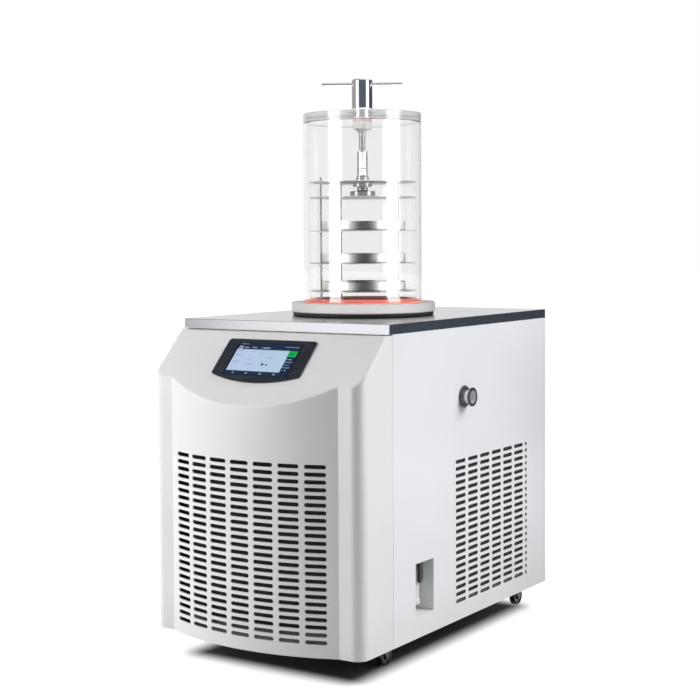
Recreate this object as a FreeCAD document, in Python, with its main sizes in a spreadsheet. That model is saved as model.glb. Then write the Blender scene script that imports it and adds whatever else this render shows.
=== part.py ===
"""Floor-standing laboratory freeze dryer with a clear top-press drying chamber.

Frame: +X is the right side seen from the front, +Y points to the back, +Z is up.
The origin is on the floor, on the symmetry plane of the cabinet and midway along the worktop.
Millimetres.
"""
import FreeCAD, Part
import math
import os
import re

import Sketcher
from FreeCAD import Placement, Rotation, Vector

doc = FreeCAD.newDocument("freeze_dryer")
sizes = doc.addObject("Spreadsheet::Sheet", "sizes")

X_AXIS = Vector(1, 0, 0)
Y_AXIS = Vector(0, 1, 0)
Z_AXIS = Vector(0, 0, 1)

# ---------------------------------------------------------------- driving sizes

SIZES = [
    # cabinet
    ("cabinet_width", 510, "outer width over the side panels"),
    ("cabinet_depth", 705, "depth of the worktop"),
    ("worktop_top", 695, "height of the worktop above the floor"),
    ("worktop_edge", 20, "height of the worktop's folded edge"),
    ("sheet", 1.5, "thickness of the cabinet sheet"),
    ("castor_over", 15, "cabinet's underside above the castor wheels"),
    ("flange_width", 15, "return flanges of the side panels"),
    ("edge_round", 1.2, "outer bend of the worktop's edges"),
    # front cover
    ("cover_joint", 11.5, "cover joint behind the worktop's front edge"),
    ("cover_seam", 0.8, "open joint between cover and side panel"),
    ("cover_gap", 2, "gap between the worktop's edge and the cover"),
    ("cover_wall", 3, "wall of the front cover"),
    ("cover_ledge", 13.9, "cover's top edge ahead of the worktop"),
    ("cover_reach", 107.5, "flat front ahead of the worktop"),
    ("facia_angle", 44.5, "slope of the facia from the horizontal"),
    ("bulge_inset", 51, "bulge inside the cabinet's sides"),
    ("bulge_depth", 45.4, "rise of the bulge over the flat front"),
    ("cover_corner", 25, "radius of the cover's upright corners"),
    ("facia_round", 7, "rounding of the facia's edges"),
    # grilles
    ("slot_pitch", 55, "pitch of the grille columns"),
    ("slot_length", 44, "length of one grille slot"),
    ("slot_height", 8.2, "height of one grille slot"),
    ("row_pitch", 14.8, "pitch of the grille rows"),
    ("front_grille_side", 59, "least distance from the front grille to the sides"),
    ("front_grille_drop", 269.5, "worktop to the top front row"),
    ("front_grille_margin", 28, "least height below the front rows"),
    ("side_grille_gap", 90, "least distance from the recess to the side grille"),
    ("side_grille_margin", 36, "least height below the side rows"),
    ("side_grille_drop", 303.5, "worktop to the top side row"),
    ("side_grille_inset", 98.9, "side grille to the cabinet's back"),
    ("short_slot", 9.5, "length of the last, short slots"),
    ("rear_grille_side", 75, "least distance from the rear grille to the sides"),
    ("rear_rows", 14, "slot rows in the rear panel"),
    ("rear_grille_drop", 95, "worktop to the top rear row"),
    # display
    ("bezel_half", 108, "half width of the screen bezel"),
    ("bezel_start", 22.6, "facia's top edge to the bezel"),
    ("bezel_side", 96, "height of the bezel at its sides"),
    ("bezel_bow", 17, "bow of the bezel's lower edge"),
    ("bezel_proud", 2.5, "bezel above the facia"),
    ("bezel_corner", 7, "corner radius of the bezel"),
    ("glass_width", 160, "width of the display glass"),
    ("glass_height", 88, "height of the display glass"),
    ("glass_start", 8, "bezel's top edge to the glass"),
    ("glass_inset", 0.7, "glass below the bezel's face"),
    ("module_border", 5, "display module beyond its glass"),
    ("module_depth", 8, "depth of the display module"),
    # recess and drain valve
    ("recess_setback", 85.5, "recess behind the cover joint"),
    ("recess_width", 73.5, "width of the recess"),
    ("recess_rise", 44, "recess above the cabinet's underside"),
    ("recess_tall", 108, "height of the recess"),
    ("recess_deep", 55, "depth of the recess pocket"),
    ("recess_headroom", 6, "pocket ceiling above the recess edge"),
    ("valve_inset", 27, "drain valve axis behind the panel face"),
    ("valve_shift", 0, "drain valve axis in front of the recess middle"),
    ("valve_round", 13, "radius of the drain valve's body"),
    ("union_round", 15, "radius of the drain valve's upper union"),
    ("valve_length", 108, "length of the drain valve below the ceiling"),
    ("spout_round", 6, "radius of the drain spout"),
    ("spout_length", 12, "length of the drain spout"),
    ("drain_bore", 4, "radius of the drain passage"),
    ("lever_pivot", 41, "valve stem below the pocket ceiling"),
    ("lever_up", 33, "lever above its pivot"),
    ("lever_down", 10, "lever below its pivot"),
    ("lever_width", 14, "width of the lever"),
    ("lever_chamfer", 8, "chamfer of the lever's lower rear corner"),
    ("lever_corner", 3, "chamfer of the lever's upper corners"),
    ("lever_thick", 4, "thickness of the lever"),
    ("lever_face", 1, "lever's outer face over the stem's end"),
    ("stem_round", 3, "radius of the valve stem"),
    # vacuum port
    ("port_place", -48, "vacuum port along the cabinet"),
    ("port_drop", 168, "vacuum port below the worktop"),
    ("port_bore", 13, "bore radius of the port tube"),
    ("port_tube", 14, "outer radius of the port tube"),
    ("port_flange", 20, "radius of the port flange"),
    ("port_flange_rim", 3, "straight rim of the port flange"),
    ("port_flange_cone", 2.6, "length of the flange's back cone"),
    ("port_reach", 21, "flange face beyond the panel"),
    ("collar_round", 23.5, "radius of the port collar"),
    ("collar_thick", 3.5, "thickness of the port collar"),
    # castors
    ("castor_side_inset", 58, "castors inside the cabinet's sides"),
    ("castor_front_inset", 55.5, "front castors behind the worktop's front"),
    ("castor_back_inset", 52.5, "rear castors inside the cabinet's back"),
    ("wheel_round", 20, "radius of the castor wheels"),
    ("wheel_width", 15, "width of the castor wheels"),
    ("wheel_trail", 13, "axle behind the swivel axis"),
    ("axle_round", 3, "radius of the castor axles"),
    ("castor_plate", 46, "side of the castor plates"),
    ("plate_thick", 2.5, "thickness of the castor plates"),
    ("race_height", 3, "height of the swivel race"),
    ("race_round", 13, "radius of the swivel race"),
    ("kingpin_round", 4, "radius of the castor kingpins"),
    ("fork_wall", 2, "wall of the castor forks"),
    ("gap_moving", 0.4, "clearance between moving faces"),
    ("gap_running", 0.05, "radial clearance of running fits"),
    # structure inside
    ("tray_wall", 2, "wall of the base tray"),
    ("tray_setback", 5, "tray's front flange behind the flat front"),
    ("tray_flange", 40, "height of the base tray's flange"),
    ("frame_wall", 2.5, "wall of the support frame"),
    ("frame_leg", 25, "leg width of the support frame"),
    ("pocket_wall", 1.2, "wall of the recess pocket"),
    # cold trap
    ("chamber_place", -41.5, "chamber axis along the cabinet"),
    ("trap_round", 98, "inner radius of the cold trap"),
    ("trap_wall", 2, "wall of the cold trap"),
    ("trap_depth", 225, "inner depth of the cold trap"),
    ("trap_lip", 18, "width of the trap's flange"),
    ("foam_wall", 36, "thickness of the trap insulation"),
    ("coil_inset", 16, "mean turn of the coil inside the trap"),
    ("coil_tube", 4.75, "radius of the coil tube"),
    ("coil_pitch", 16, "pitch of the evaporator coil"),
    ("coil_turns", 9, "turns of the evaporator coil"),
    ("coil_lift", 25, "lowest turn above the trap's floor"),
    # refrigeration
    ("shell_round", 88, "radius of the compressor shell"),
    ("shell_height", 190, "height of the compressor shell"),
    ("compressor_side", -105, "compressor axis to the side"),
    ("compressor_inset", 157.5, "compressor axis to the cabinet's back"),
    ("foot_height", 14, "height of the compressor's feet"),
    ("core_side_gap", 65, "condenser inside the cabinet's sides"),
    ("core_height", 330, "height of the condenser"),
    ("core_depth", 40, "depth of the condenser"),
    ("core_gap", 8, "condenser behind the tray's front flange"),
    ("core_columns", 36, "air passages through the condenser"),
    ("core_passage", 5.4, "width of one air passage"),
    ("shroud_bore", 146, "radius of the fan opening"),
    ("shroud_depth", 34, "depth of the fan shroud"),
    ("rotor_round", 142, "radius of the fan rotor"),
    ("rotor_hub", 34, "radius of the fan hub"),
    ("rotor_depth", 22, "depth of the fan hub"),
    ("rotor_blades", 5, "blades of the fan"),
    ("blade_thick", 2, "thickness of the blades"),
    ("blade_angle", 24, "pitch angle of the blades"),
    ("motor_round", 44, "radius of the fan motor"),
    ("motor_length", 62, "length of the fan motor"),
    ("shaft_round", 4, "radius of the fan shaft"),
    ("pipe_round", 4.75, "radius of the refrigerant pipes"),
    ("pipe_bend", 10, "bend radius of the refrigerant pipes"),
    ("drain_pipe", 6, "outer radius of the drain pipe"),
    ("drain_bend", 30, "bend radius of the drain pipe"),
    ("drier_round", 22, "radius of the filter drier"),
    ("drier_length", 110, "length of the filter drier"),
    ("drier_inset", 135, "filter drier inside the cabinet's side"),
    ("drier_place", 60, "filter drier along the cabinet"),
    ("drier_drop", 117, "filter drier below the coil's ends"),
    # rear connections
    ("inlet_inset", 85, "power inlet inside the cabinet's side"),
    ("inlet_rise", 105, "power inlet above the cabinet's underside"),
    ("inlet_width", 28, "width of the power inlet"),
    ("inlet_tall", 22, "height of the power inlet"),
    ("switch_width", 22, "width of the power switch"),
    ("switch_tall", 30, "height of the power switch"),
    ("switch_gap", 46, "power switch above the inlet"),
    # chamber
    ("ring_inset", 3, "rubber ring inside the base disc's rim"),
    ("ring_gap", 2, "rubber ring outside the trap's flange"),
    ("ring_height", 8, "height of the rubber ring"),
    ("ring_bulge", 3.8, "bulge of the rubber ring's side"),
    ("disc_border", 28.5, "base disc beyond the chamber tube"),
    ("disc_height", 20.5, "height of the base disc"),
    ("disc_bore", 84, "radius of the base disc's opening"),
    ("tube_round", 130, "outer radius of the chamber tube"),
    ("tube_wall", 10, "wall of the chamber tube"),
    ("tube_length", 390, "length of the chamber tube"),
    ("gasket_base", 2.5, "gasket's flange below the tube"),
    ("gasket_lip", 0.8, "gasket's flange beyond the tube"),
    ("gasket_rise", 5.5, "gasket's inner lip above the tube's end"),
    ("gasket_width", 25, "gasket inside the tube's outer face"),
    ("lid_thick", 20, "thickness of the lid"),
    # rack
    ("plate_gap", 3, "shelves and plates inside the tube"),
    ("shelf_thick", 1.5, "thickness of the shelves"),
    ("top_plate_thick", 2, "thickness of the fixed top plate"),
    ("press_plate_thick", 2, "thickness of the press plate"),
    ("rod_inset", 17, "guide rods inside the plates' rims"),
    ("rod_round", 2.25, "radius of the guide rods"),
    ("rod_over", 9, "guide rods above the top plate"),
    ("rod_left", -121, "direction of the left guide rod"),
    ("rod_right", 67, "direction of the right guide rod"),
    ("rod_rear", 152, "direction of the rear guide rod"),
    ("nut_round", 4.2, "radius of the rod nuts"),
    ("nut_height", 3, "height of the rod nuts"),
    ("low_shelf_rise", 23.5, "lower shelf above the base disc"),
    ("middle_shelf_rise", 84.5, "middle shelf above the base disc"),
    ("high_shelf_rise", 155.5, "upper shelf above the base disc"),
    ("top_plate_rise", 261.5, "top plate above the base disc"),
    ("tray_gap", 4.25, "trays inside the guide rods"),
    ("tray_height", 20, "height of the trays"),
    ("pan_wall", 1, "wall of the trays"),
    ("pan_rim", 1.4, "thickness of the trays' rim"),
    # press
    ("press_nut_round", 20.8, "radius of the press nut's flange"),
    ("press_nut_neck", 16, "radius of the press nut in the top plate"),
    ("press_nut_rise", 12, "press nut above the top plate"),
    ("press_nut_drop", 8.5, "press nut below the top plate"),
    ("screw_round", 12.3, "outer radius of the press screw"),
    ("screw_rise", 70, "press screw above the top plate's underside"),
    ("thread_pitch", 4, "pitch of the press screw"),
    ("thread_deep", 1.3, "depth of the thread"),
    ("foot_round", 28, "radius of the press foot"),
    ("foot_thick", 13.4, "thickness of the press foot"),
    ("foot_neck", 9.5, "press foot below the press nut"),
    ("foot_pivot", 6, "radius of the screw's pivot in the foot"),
    ("rod_slide", 0.6, "clearance of the press plate on its rods"),
    ("hex_half", 5.4, "half width over the drive hexagon's flats"),
    ("drive_round", 7, "radius of the drive rod"),
    ("drive_reach", 54, "drive rod's end inside the press screw"),
    # handle and gland
    ("gland_round", 20, "radius of the gland body"),
    ("gland_rise", 8, "gland body above the lid"),
    ("seal_height", 11, "height of the gland's seal ring"),
    ("seal_seat", 9.5, "seal ring's seat in the lid"),
    ("gland_barrel", 14, "radius of the gland's threaded barrel"),
    ("gland_barrel_drop", 11, "gland barrel below the lid"),
    ("gland_nut_round", 21, "radius of the gland nut"),
    ("gland_nut_height", 12.5, "height of the gland nut"),
    ("gland_collar", 11.5, "radius of the gland nut's collar"),
    ("gland_collar_height", 5.5, "height of the gland nut's collar"),
    ("hub_round", 23, "radius of the handle hub"),
    ("hub_height", 65, "height of the handle hub"),
    ("hub_gap", 2.5, "hub above the gland"),
    ("bar_round", 4.3, "radius of the handle bar"),
    ("bar_length", 177, "length of the handle bar"),
    ("bar_drop", 10, "handle bar below the hub's top"),
    ("bar_turn", 32, "direction of the handle bar"),
]

for row, (name, amount, note) in enumerate(SIZES, start=1):
    sizes.set("A%d" % row, name)
    sizes.set("B%d" % row, str(amount))
    sizes.setAlias("B%d" % row, name)
    sizes.set("C%d" % row, note)
doc.recompute()

ALIASES = {name for name, amount, note in SIZES}

# ---------------------------------------------------------------- places worked out from the sizes

DERIVED = {
    "castor_height": "2 * wheel_round + castor_over",
    "castor_half": "cabinet_width / 2 - castor_side_inset",
    "castor_front": "castor_front_inset - cabinet_depth / 2",
    "castor_back": "cabinet_depth / 2 - castor_back_inset",
    "bulge_half": "cabinet_width / 2 - bulge_inset",
    "front_columns": "floor((cabinet_width - 2 * front_grille_side) / slot_pitch)",
    "front_top_row": "worktop_top - front_grille_drop",
    "front_rows": "floor((front_top_row - castor_height - front_grille_margin) / row_pitch) + 1",
    "side_top_row": "worktop_top - side_grille_drop",
    "side_rows": "floor((side_top_row - castor_height - side_grille_margin) / row_pitch) + 1",
    "side_grille_end": "cabinet_depth / 2 - side_grille_inset - short_slot",
    "side_columns": "floor((side_grille_end - recess_back - side_grille_gap) / slot_pitch)",
    "side_grille_start": "side_grille_end - side_columns * slot_pitch",
    "rear_columns": "floor((cabinet_width - 2 * rear_grille_side) / slot_pitch)",
    "rear_top_row": "worktop_top - rear_grille_drop",
    "recess_front": "cover_joint - cabinet_depth / 2 + recess_setback",
    "recess_back": "recess_front + recess_width",
    "recess_low": "castor_height + recess_rise",
    "recess_high": "recess_low + recess_tall",
    "port_height": "worktop_top - port_drop",
    "trap_flange": "trap_round + trap_lip",
    "coil_round": "trap_round - coil_inset",
    "coil_end": "worktop_top - trap_depth - trap_wall - foam_wall - 5",
    "compressor_place": "cabinet_depth / 2 - compressor_inset",
    "core_width": "cabinet_width - 2 * core_side_gap",
    "drier_side": "cabinet_width / 2 - drier_inset",
    "drier_low": "coil_end - drier_drop - drier_length",
    "inlet_side": "cabinet_width / 2 - inlet_inset",
    "inlet_height": "castor_height + inlet_rise",
    "ring_inner": "trap_flange + ring_gap",
    "ring_round": "disc_round - ring_inset",
    "disc_round": "tube_round + disc_border",
    "disc_low": "worktop_top + ring_height",
    "disc_top": "disc_low + disc_height",
    "gasket_inner": "tube_round - gasket_width",
    "plate_round": "tube_round - tube_wall - plate_gap",
    "rod_circle": "plate_round - rod_inset",
    "tray_round": "rod_circle - rod_round - tray_gap",
    "shelf_low": "disc_top + low_shelf_rise",
    "shelf_middle": "disc_top + middle_shelf_rise",
    "shelf_high": "disc_top + high_shelf_rise",
    "top_plate_low": "disc_top + top_plate_rise",
    "screw_top": "top_plate_low + screw_rise",
    "drive_low": "screw_top - drive_reach",
}


def full(expression):
    """The expression with derived places written out and each size's name pointing into the sheet."""
    def spelled(match):
        name = match.group()
        if name in DERIVED:
            return "(" + full(DERIVED[name]) + ")"
        return "sizes." + name if name in ALIASES else name
    return re.sub(r"[a-z_]+", spelled, str(expression))


def number(expression):
    """The present value of an expression of sizes."""
    return float(sizes.evalExpression(full(expression)))


def bind(item, **properties):
    """Tie properties of an object to expressions of sizes."""
    for name, expression in properties.items():
        item.setExpression(name, full(expression))


def place(item, x="0", y="0", z="0", axis=Z_AXIS, angle="0"):
    """Put an object at a point, turned about an axis."""
    item.Placement = Placement(Vector(), Rotation(axis, number(angle) or 1e-9))
    item.setExpression("Placement.Base.x", full(x))
    item.setExpression("Placement.Base.y", full(y))
    item.setExpression("Placement.Base.z", full(z))
    item.setExpression("Placement.Rotation.Angle", full(angle))


# ---------------------------------------------------------------- ways to make a piece

NODES = []


def node(item, label):
    """Name a finished sub-part."""
    item.Label = label
    NODES.append(item)
    return item


def body(name):
    """A new PartDesign body."""
    return doc.addObject("PartDesign::Body", name)


def sketch(owner, plane, offset="0"):
    """An empty sketch on a base plane of its body, moved along the plane's normal."""
    item = owner.newObject("Sketcher::SketchObject", "sketch")
    support = next(f for f in owner.Origin.OriginFeatures if f.Role == plane + "_Plane")
    item.AttachmentSupport = (support, [""])
    item.MapMode = "FlatFace"
    item.setExpression("AttachmentOffset.Base.z", full(offset))
    return item


def fix(item, kind, edge, end, expression):
    """Set one coordinate of a sketch point, or a radius when no point is given."""
    if end is None:
        index = item.addConstraint(Sketcher.Constraint(kind, edge, number(expression)))
    else:
        index = item.addConstraint(Sketcher.Constraint(kind, edge, end, number(expression)))
    item.setExpression("Constraints[%d]" % index, full(expression))


def arc_between(start, finish, radius, side):
    """Arc that turns left or right from start to finish, and its first and last ends."""
    chord = finish - start
    normal = Vector(-chord.y, chord.x, 0).normalize()
    reach = math.sqrt(radius ** 2 - (chord.Length / 2) ** 2)
    centre = (start + finish) * 0.5 + normal * (reach if side == "left" else -reach)
    angles = [math.atan2(p.y - centre.y, p.x - centre.x) for p in (start, finish)]
    circle = Part.Circle(centre, Z_AXIS, radius)
    if side == "left":
        return Part.ArcOfCircle(circle, angles[0], angles[1]), 1, 2
    return Part.ArcOfCircle(circle, angles[1], angles[0]), 2, 1


def outline(owner, plane, path, offset="0"):
    """Closed sketch. A corner is (u, v), or (u, v, radius, side) where an arc leaves it."""
    item = sketch(owner, plane, offset)
    points = [Vector(number(corner[0]), number(corner[1]), 0) for corner in path]
    edges = []
    for corner, start, finish in zip(path, points, points[1:] + points[:1]):
        if len(corner) == 4:
            curve, first, last = arc_between(start, finish, number(corner[2]), corner[3])
        else:
            curve, first, last = Part.LineSegment(start, finish), 1, 2
        edges.append((item.addGeometry(curve), first, last))
    for (edge, first, last), (after, after_first, after_last) in zip(edges, edges[1:] + edges[:1]):
        item.addConstraint(Sketcher.Constraint("Coincident", edge, last, after, after_first))
    for corner, (edge, first, last) in zip(path, edges):
        fix(item, "DistanceX", edge, first, corner[0])
        fix(item, "DistanceY", edge, first, corner[1])
        if len(corner) == 4:
            fix(item, "Radius", edge, None, corner[2])
    return item


def rectangle(owner, plane, low_u, low_v, high_u, high_v, offset="0"):
    """Rectangular sketch between two corners."""
    path = [(low_u, low_v), (high_u, low_v), (high_u, high_v), (low_u, high_v)]
    return outline(owner, plane, path, offset)


def circles(owner, plane, rings, offset="0"):
    """Sketch of circles, each (u, v, radius)."""
    item = sketch(owner, plane, offset)
    for u, v, radius in rings:
        circle = Part.Circle(Vector(number(u), number(v), 0), Z_AXIS, number(radius))
        edge = item.addGeometry(circle)
        fix(item, "DistanceX", edge, 3, u)
        fix(item, "DistanceY", edge, 3, v)
        fix(item, "Radius", edge, None, radius)
    return item


def slot(owner, plane, middle_u, middle_v, length, height, offset="0"):
    """Sketch of a slot with round ends, lying along u."""
    item = sketch(owner, plane, offset)
    radius = number(height) / 2
    ends = ["%s - (%s - %s) / 2" % (middle_u, length, height),
            "%s + (%s - %s) / 2" % (middle_u, length, height)]
    left, right = (Vector(number(end), number(middle_v), 0) for end in ends)
    up = Vector(0, radius, 0)
    quarter = math.pi / 2
    parts = [Part.LineSegment(left - up, right - up),
             Part.ArcOfCircle(Part.Circle(right, Z_AXIS, radius), -quarter, quarter),
             Part.LineSegment(right + up, left + up),
             Part.ArcOfCircle(Part.Circle(left, Z_AXIS, radius), quarter, 3 * quarter)]
    low, right_arc, high, left_arc = (item.addGeometry(part) for part in parts)
    joins = [(low, 2, right_arc, 1), (right_arc, 2, high, 1), (high, 2, left_arc, 1), (left_arc, 2, low, 1)]
    for join in joins:
        item.addConstraint(Sketcher.Constraint("Tangent", *join))
    item.addConstraint(Sketcher.Constraint("Equal", right_arc, left_arc))
    for arc, end in ((left_arc, ends[0]), (right_arc, ends[1])):
        fix(item, "DistanceX", arc, 3, end)
        fix(item, "DistanceY", arc, 3, middle_v)
    fix(item, "Radius", right_arc, None, "(%s) / 2" % height)
    return item


def pad(owner, profile, length, both=False, back=False):
    """Add the profile's prism, to both sides or against the plane's normal if asked."""
    item = owner.newObject("PartDesign::Pad", "pad")
    item.Profile = profile
    bind(item, Length=length)
    item.Midplane = both
    item.Reversed = back
    return item


def pocket(owner, profile, length=None, back=False):
    """Cut the profile's prism: through everything both ways, or a length against the normal."""
    item = owner.newObject("PartDesign::Pocket", "pocket")
    item.Profile = profile
    if length is None:
        item.Type = "ThroughAll"
        item.Midplane = True
    else:
        bind(item, Length=length)
        item.Reversed = back
    return item


def wide_pocket(owner, profile, width):
    """Cut the profile's prism over a width centred on its plane."""
    item = pocket(owner, profile, width)
    item.Midplane = True
    return item


def revolve(owner, profile, axis="V_Axis"):
    """Turn the profile fully about one of its own axes."""
    item = owner.newObject("PartDesign::Revolution", "revolution")
    item.Profile = profile
    item.ReferenceAxis = (profile, [axis])
    item.Angle = 360
    return item


def pattern(owner, feature, profile, steps):
    """Repeat a feature along its sketch's axes: steps holds (axis, reach, count)."""
    item = owner.newObject("PartDesign::MultiTransform", "grid")
    item.Originals = [feature]
    rows = []
    for axis, reach, count in steps:
        line = owner.newObject("PartDesign::LinearPattern", "row")
        line.Direction = (profile, [axis])
        bind(line, Length=reach, Occurrences=count)
        rows.append(line)
    item.Transformations = rows
    owner.Tip = item
    return item


def box(name, low, size):
    """Part::Box from its low corner."""
    item = doc.addObject("Part::Box", name)
    bind(item, Length=size[0], Width=size[1], Height=size[2])
    place(item, *low)
    return item


def cylinder(name, radius, height, at, axis=Z_AXIS):
    """Part::Cylinder that starts at a point and runs along an axis."""
    item = doc.addObject("Part::Cylinder", name)
    bind(item, Radius=radius, Height=height)
    item.Placement = Placement(Vector(), Rotation(Z_AXIS, axis))
    for letter, expression in zip("xyz", at):
        item.setExpression("Placement.Base." + letter, full(expression))
    return item


def cut(name, base, *tools):
    """Part::Cut of one object by others."""
    item = doc.addObject("Part::Cut", name)
    item.Base = base
    item.Tool = tools[0] if len(tools) == 1 else fuse(name + "_tools", *tools)
    return item


def fuse(name, *items):
    """Part::MultiFuse of objects."""
    item = doc.addObject("Part::MultiFuse", name)
    item.Shapes = list(items)
    item.Refine = True
    return item


def compound(name, *items):
    """Part::Compound of objects that stay separate solids."""
    item = doc.addObject("Part::Compound", name)
    item.Links = list(items)
    return item


def feature(name, shape):
    """Part::Feature of a shape that is worked out here."""
    item = doc.addObject("Part::Feature", name)
    item.Shape = shape
    return item


def turned(name, profile, x="0", y="0", z="0"):
    """Body of revolution about Z from (radius, height) corners, put at a point."""
    item = body(name)
    revolve(item, outline(item, "XZ", profile))
    place(item, x, y, z)
    return item


def pipe_path(points, bend):
    """Wire of straight runs joined by tangent arcs of one bend radius."""
    edges = []
    start = points[0]
    for before, corner, after in zip(points, points[1:], points[2:]):
        inward = (before - corner).normalize()
        onward = (after - corner).normalize()
        half = inward.getAngle(onward) / 2
        reach = bend / math.tan(half)
        first = corner + inward * reach
        last = corner + onward * reach
        middle = corner + (inward + onward).normalize() * (bend / math.sin(half) - bend)
        edges.append(Part.LineSegment(start, first).toShape())
        edges.append(Part.Arc(first, middle, last).toShape())
        start = last
    edges.append(Part.LineSegment(start, points[-1]).toShape())
    return Part.Wire(edges)


def pipe(points, radius, bend, bore=0):
    """Bent pipe through points, hollow if it has a bore."""
    path = pipe_path(points, bend)
    direction = points[1] - points[0]
    ring = Part.Wire([Part.makeCircle(radius, points[0], direction)])
    solid = path.makePipeShell([ring], True, True)
    if not bore:
        return solid
    hole = Part.Wire([Part.makeCircle(bore, points[0], direction)])
    return solid.cut(path.makePipeShell([hole], True, True))


def point(x, y, z):
    """The present place of a point given by expressions."""
    return Vector(number(x), number(y), number(z))


# ---------------------------------------------------------------- shared faces

HALF_W = "cabinet_width / 2"
PANEL_IN = "(cabinet_width / 2 - sheet)"
FRONT_Y = "(-cabinet_depth / 2)"
BACK_Y = "(cabinet_depth / 2)"
BACK_IN = "(cabinet_depth / 2 - sheet)"
PANEL_TOP = "(worktop_top - worktop_edge)"
JOINT_Y = "(cover_joint - cabinet_depth / 2)"
COVER_BACK = "(cover_joint - cabinet_depth / 2 - cover_seam)"
COVER_TOP = "(worktop_top - worktop_edge - cover_gap)"
FLAT_Y = "(-cabinet_depth / 2 - cover_reach)"
FACIA_Y = "(-cabinet_depth / 2 - cover_ledge)"
BULGE_RADIUS = "((bulge_half ^ 2 + bulge_depth ^ 2) / (2 * bulge_depth))"
BULGE_Y = "(%s - bulge_depth + %s)" % (FLAT_Y, BULGE_RADIUS)
TRAY_HALF = "(cabinet_width / 2 - cover_wall)"
TRAY_TOP = "(castor_height + tray_wall)"
TRAY_FRONT = "(%s + cover_wall + tray_setback)" % FLAT_Y
FRAME_TOP = "(worktop_top - sheet)"
TUBE_LOW = "(disc_top + gasket_base)"
LID_LOW = "(%s + tube_length)" % TUBE_LOW
LID_TOP = "(%s + lid_thick)" % LID_LOW
TRAP_FLOOR = "(worktop_top - trap_depth)"
FOAM_LOW = "(%s - trap_wall - foam_wall)" % TRAP_FLOOR


# ---------------------------------------------------------------- cabinet sheet metal

def tray_plan(inset):
    """Plan of the base tray, with front corners that follow the cover's."""
    side = "(%s - %s)" % (TRAY_HALF, inset)
    front, back = "(%s + %s)" % (TRAY_FRONT, inset), "(%s - %s)" % (BACK_IN, inset)
    corner = "(cover_corner - %s)" % inset
    turn = "(%s - %s)" % (side, corner)
    bend = "%s + %s" % (front, corner)
    return [("-" + side, back), ("-" + side, bend, corner, "left"), ("-" + turn, front),
            (turn, front, corner, "left"), (side, bend), (side, back)]


def make_base_tray():
    """Open tray with upright flanges: the floor of the cabinet."""
    tray = body("base_tray")
    pad(tray, outline(tray, "XY", tray_plan("0"), "castor_height"), "tray_wall + tray_flange")
    pocket(tray, outline(tray, "XY", tray_plan("tray_wall"), TRAY_TOP + " + tray_flange"), "tray_flange")
    node(tray, "base_tray")


def make_support_frame():
    """Welded angle frame that carries the worktop: corner posts and a top ring."""
    frame = body("support_frame")
    side = "(%s - tray_wall)" % TRAY_HALF
    front = "(%s + sheet)" % JOINT_Y
    back = "(%s - tray_wall)" % BACK_IN
    pad(frame, rectangle(frame, "XY", "-" + side, front, side, back, offset=TRAY_TOP),
        "%s - %s" % (FRAME_TOP, TRAY_TOP))
    inner = ("-%s + frame_wall" % side, front + " + frame_wall",
             side + " - frame_wall", back + " - frame_wall")
    pocket(frame, rectangle(frame, "XY", *inner, offset=TRAY_TOP),
           "%s - %s - frame_wall" % (FRAME_TOP, TRAY_TOP), back=True)
    opening = ("-%s + frame_leg" % side, front + " + frame_leg", side + " - frame_leg", back + " - frame_leg")
    pocket(frame, rectangle(frame, "XY", *opening))
    below_ring = FRAME_TOP + " - frame_leg"
    pocket(frame, rectangle(frame, "XZ", "-%s + frame_leg" % side, TRAY_TOP + " - 1",
                            side + " - frame_leg", below_ring))
    pocket(frame, rectangle(frame, "YZ", front + " + frame_leg", TRAY_TOP + " - 1",
                            back + " - frame_leg", below_ring))
    node(frame, "support_frame")


def make_side_panel(label, side):
    """Folded side panel with its grille. side is +1 on the right and -1 on the left."""
    panel = body(label)
    flip = "" if side > 0 else "-"
    outer, inner = flip + "(%s)" % HALF_W, flip + PANEL_IN
    tip = flip + "(%s - flange_width)" % PANEL_IN
    tray_side = flip + TRAY_HALF
    path = [(outer, JOINT_Y), (outer, BACK_Y), (inner, BACK_Y), (inner, JOINT_Y + " + sheet"),
            (tip, JOINT_Y + " + sheet"), (tip, JOINT_Y)]
    pad(panel, outline(panel, "XY", path, "castor_height"), PANEL_TOP + " - castor_height")
    notch = rectangle(panel, "XY", tip, JOINT_Y + " - 1", tray_side, JOINT_Y + " + sheet", "castor_height")
    pocket(panel, notch, "tray_wall + tray_flange", back=True)
    low_row = "side_top_row - (side_rows - 1) * row_pitch"
    first = slot(panel, "YZ", "side_grille_start + slot_length / 2", low_row, "slot_length", "slot_height")
    pattern(panel, pocket(panel, first), first,
            [("H_Axis", "(side_columns - 1) * slot_pitch", "side_columns"),
             ("V_Axis", "(side_rows - 1) * row_pitch", "side_rows")])
    last_column = "side_grille_start + side_columns * slot_pitch + short_slot / 2"
    short = slot(panel, "YZ", last_column, low_row, "short_slot", "slot_height")
    pattern(panel, pocket(panel, short), short, [("V_Axis", "(side_rows - 1) * row_pitch", "side_rows")])
    if side > 0:
        pocket(panel, circles(panel, "YZ", [("port_place", "port_height", "port_tube + gap_moving")]))
        pocket(panel, rectangle(panel, "YZ", "recess_front", "recess_low", "recess_back", "recess_high"))
    node(panel, label)


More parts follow.
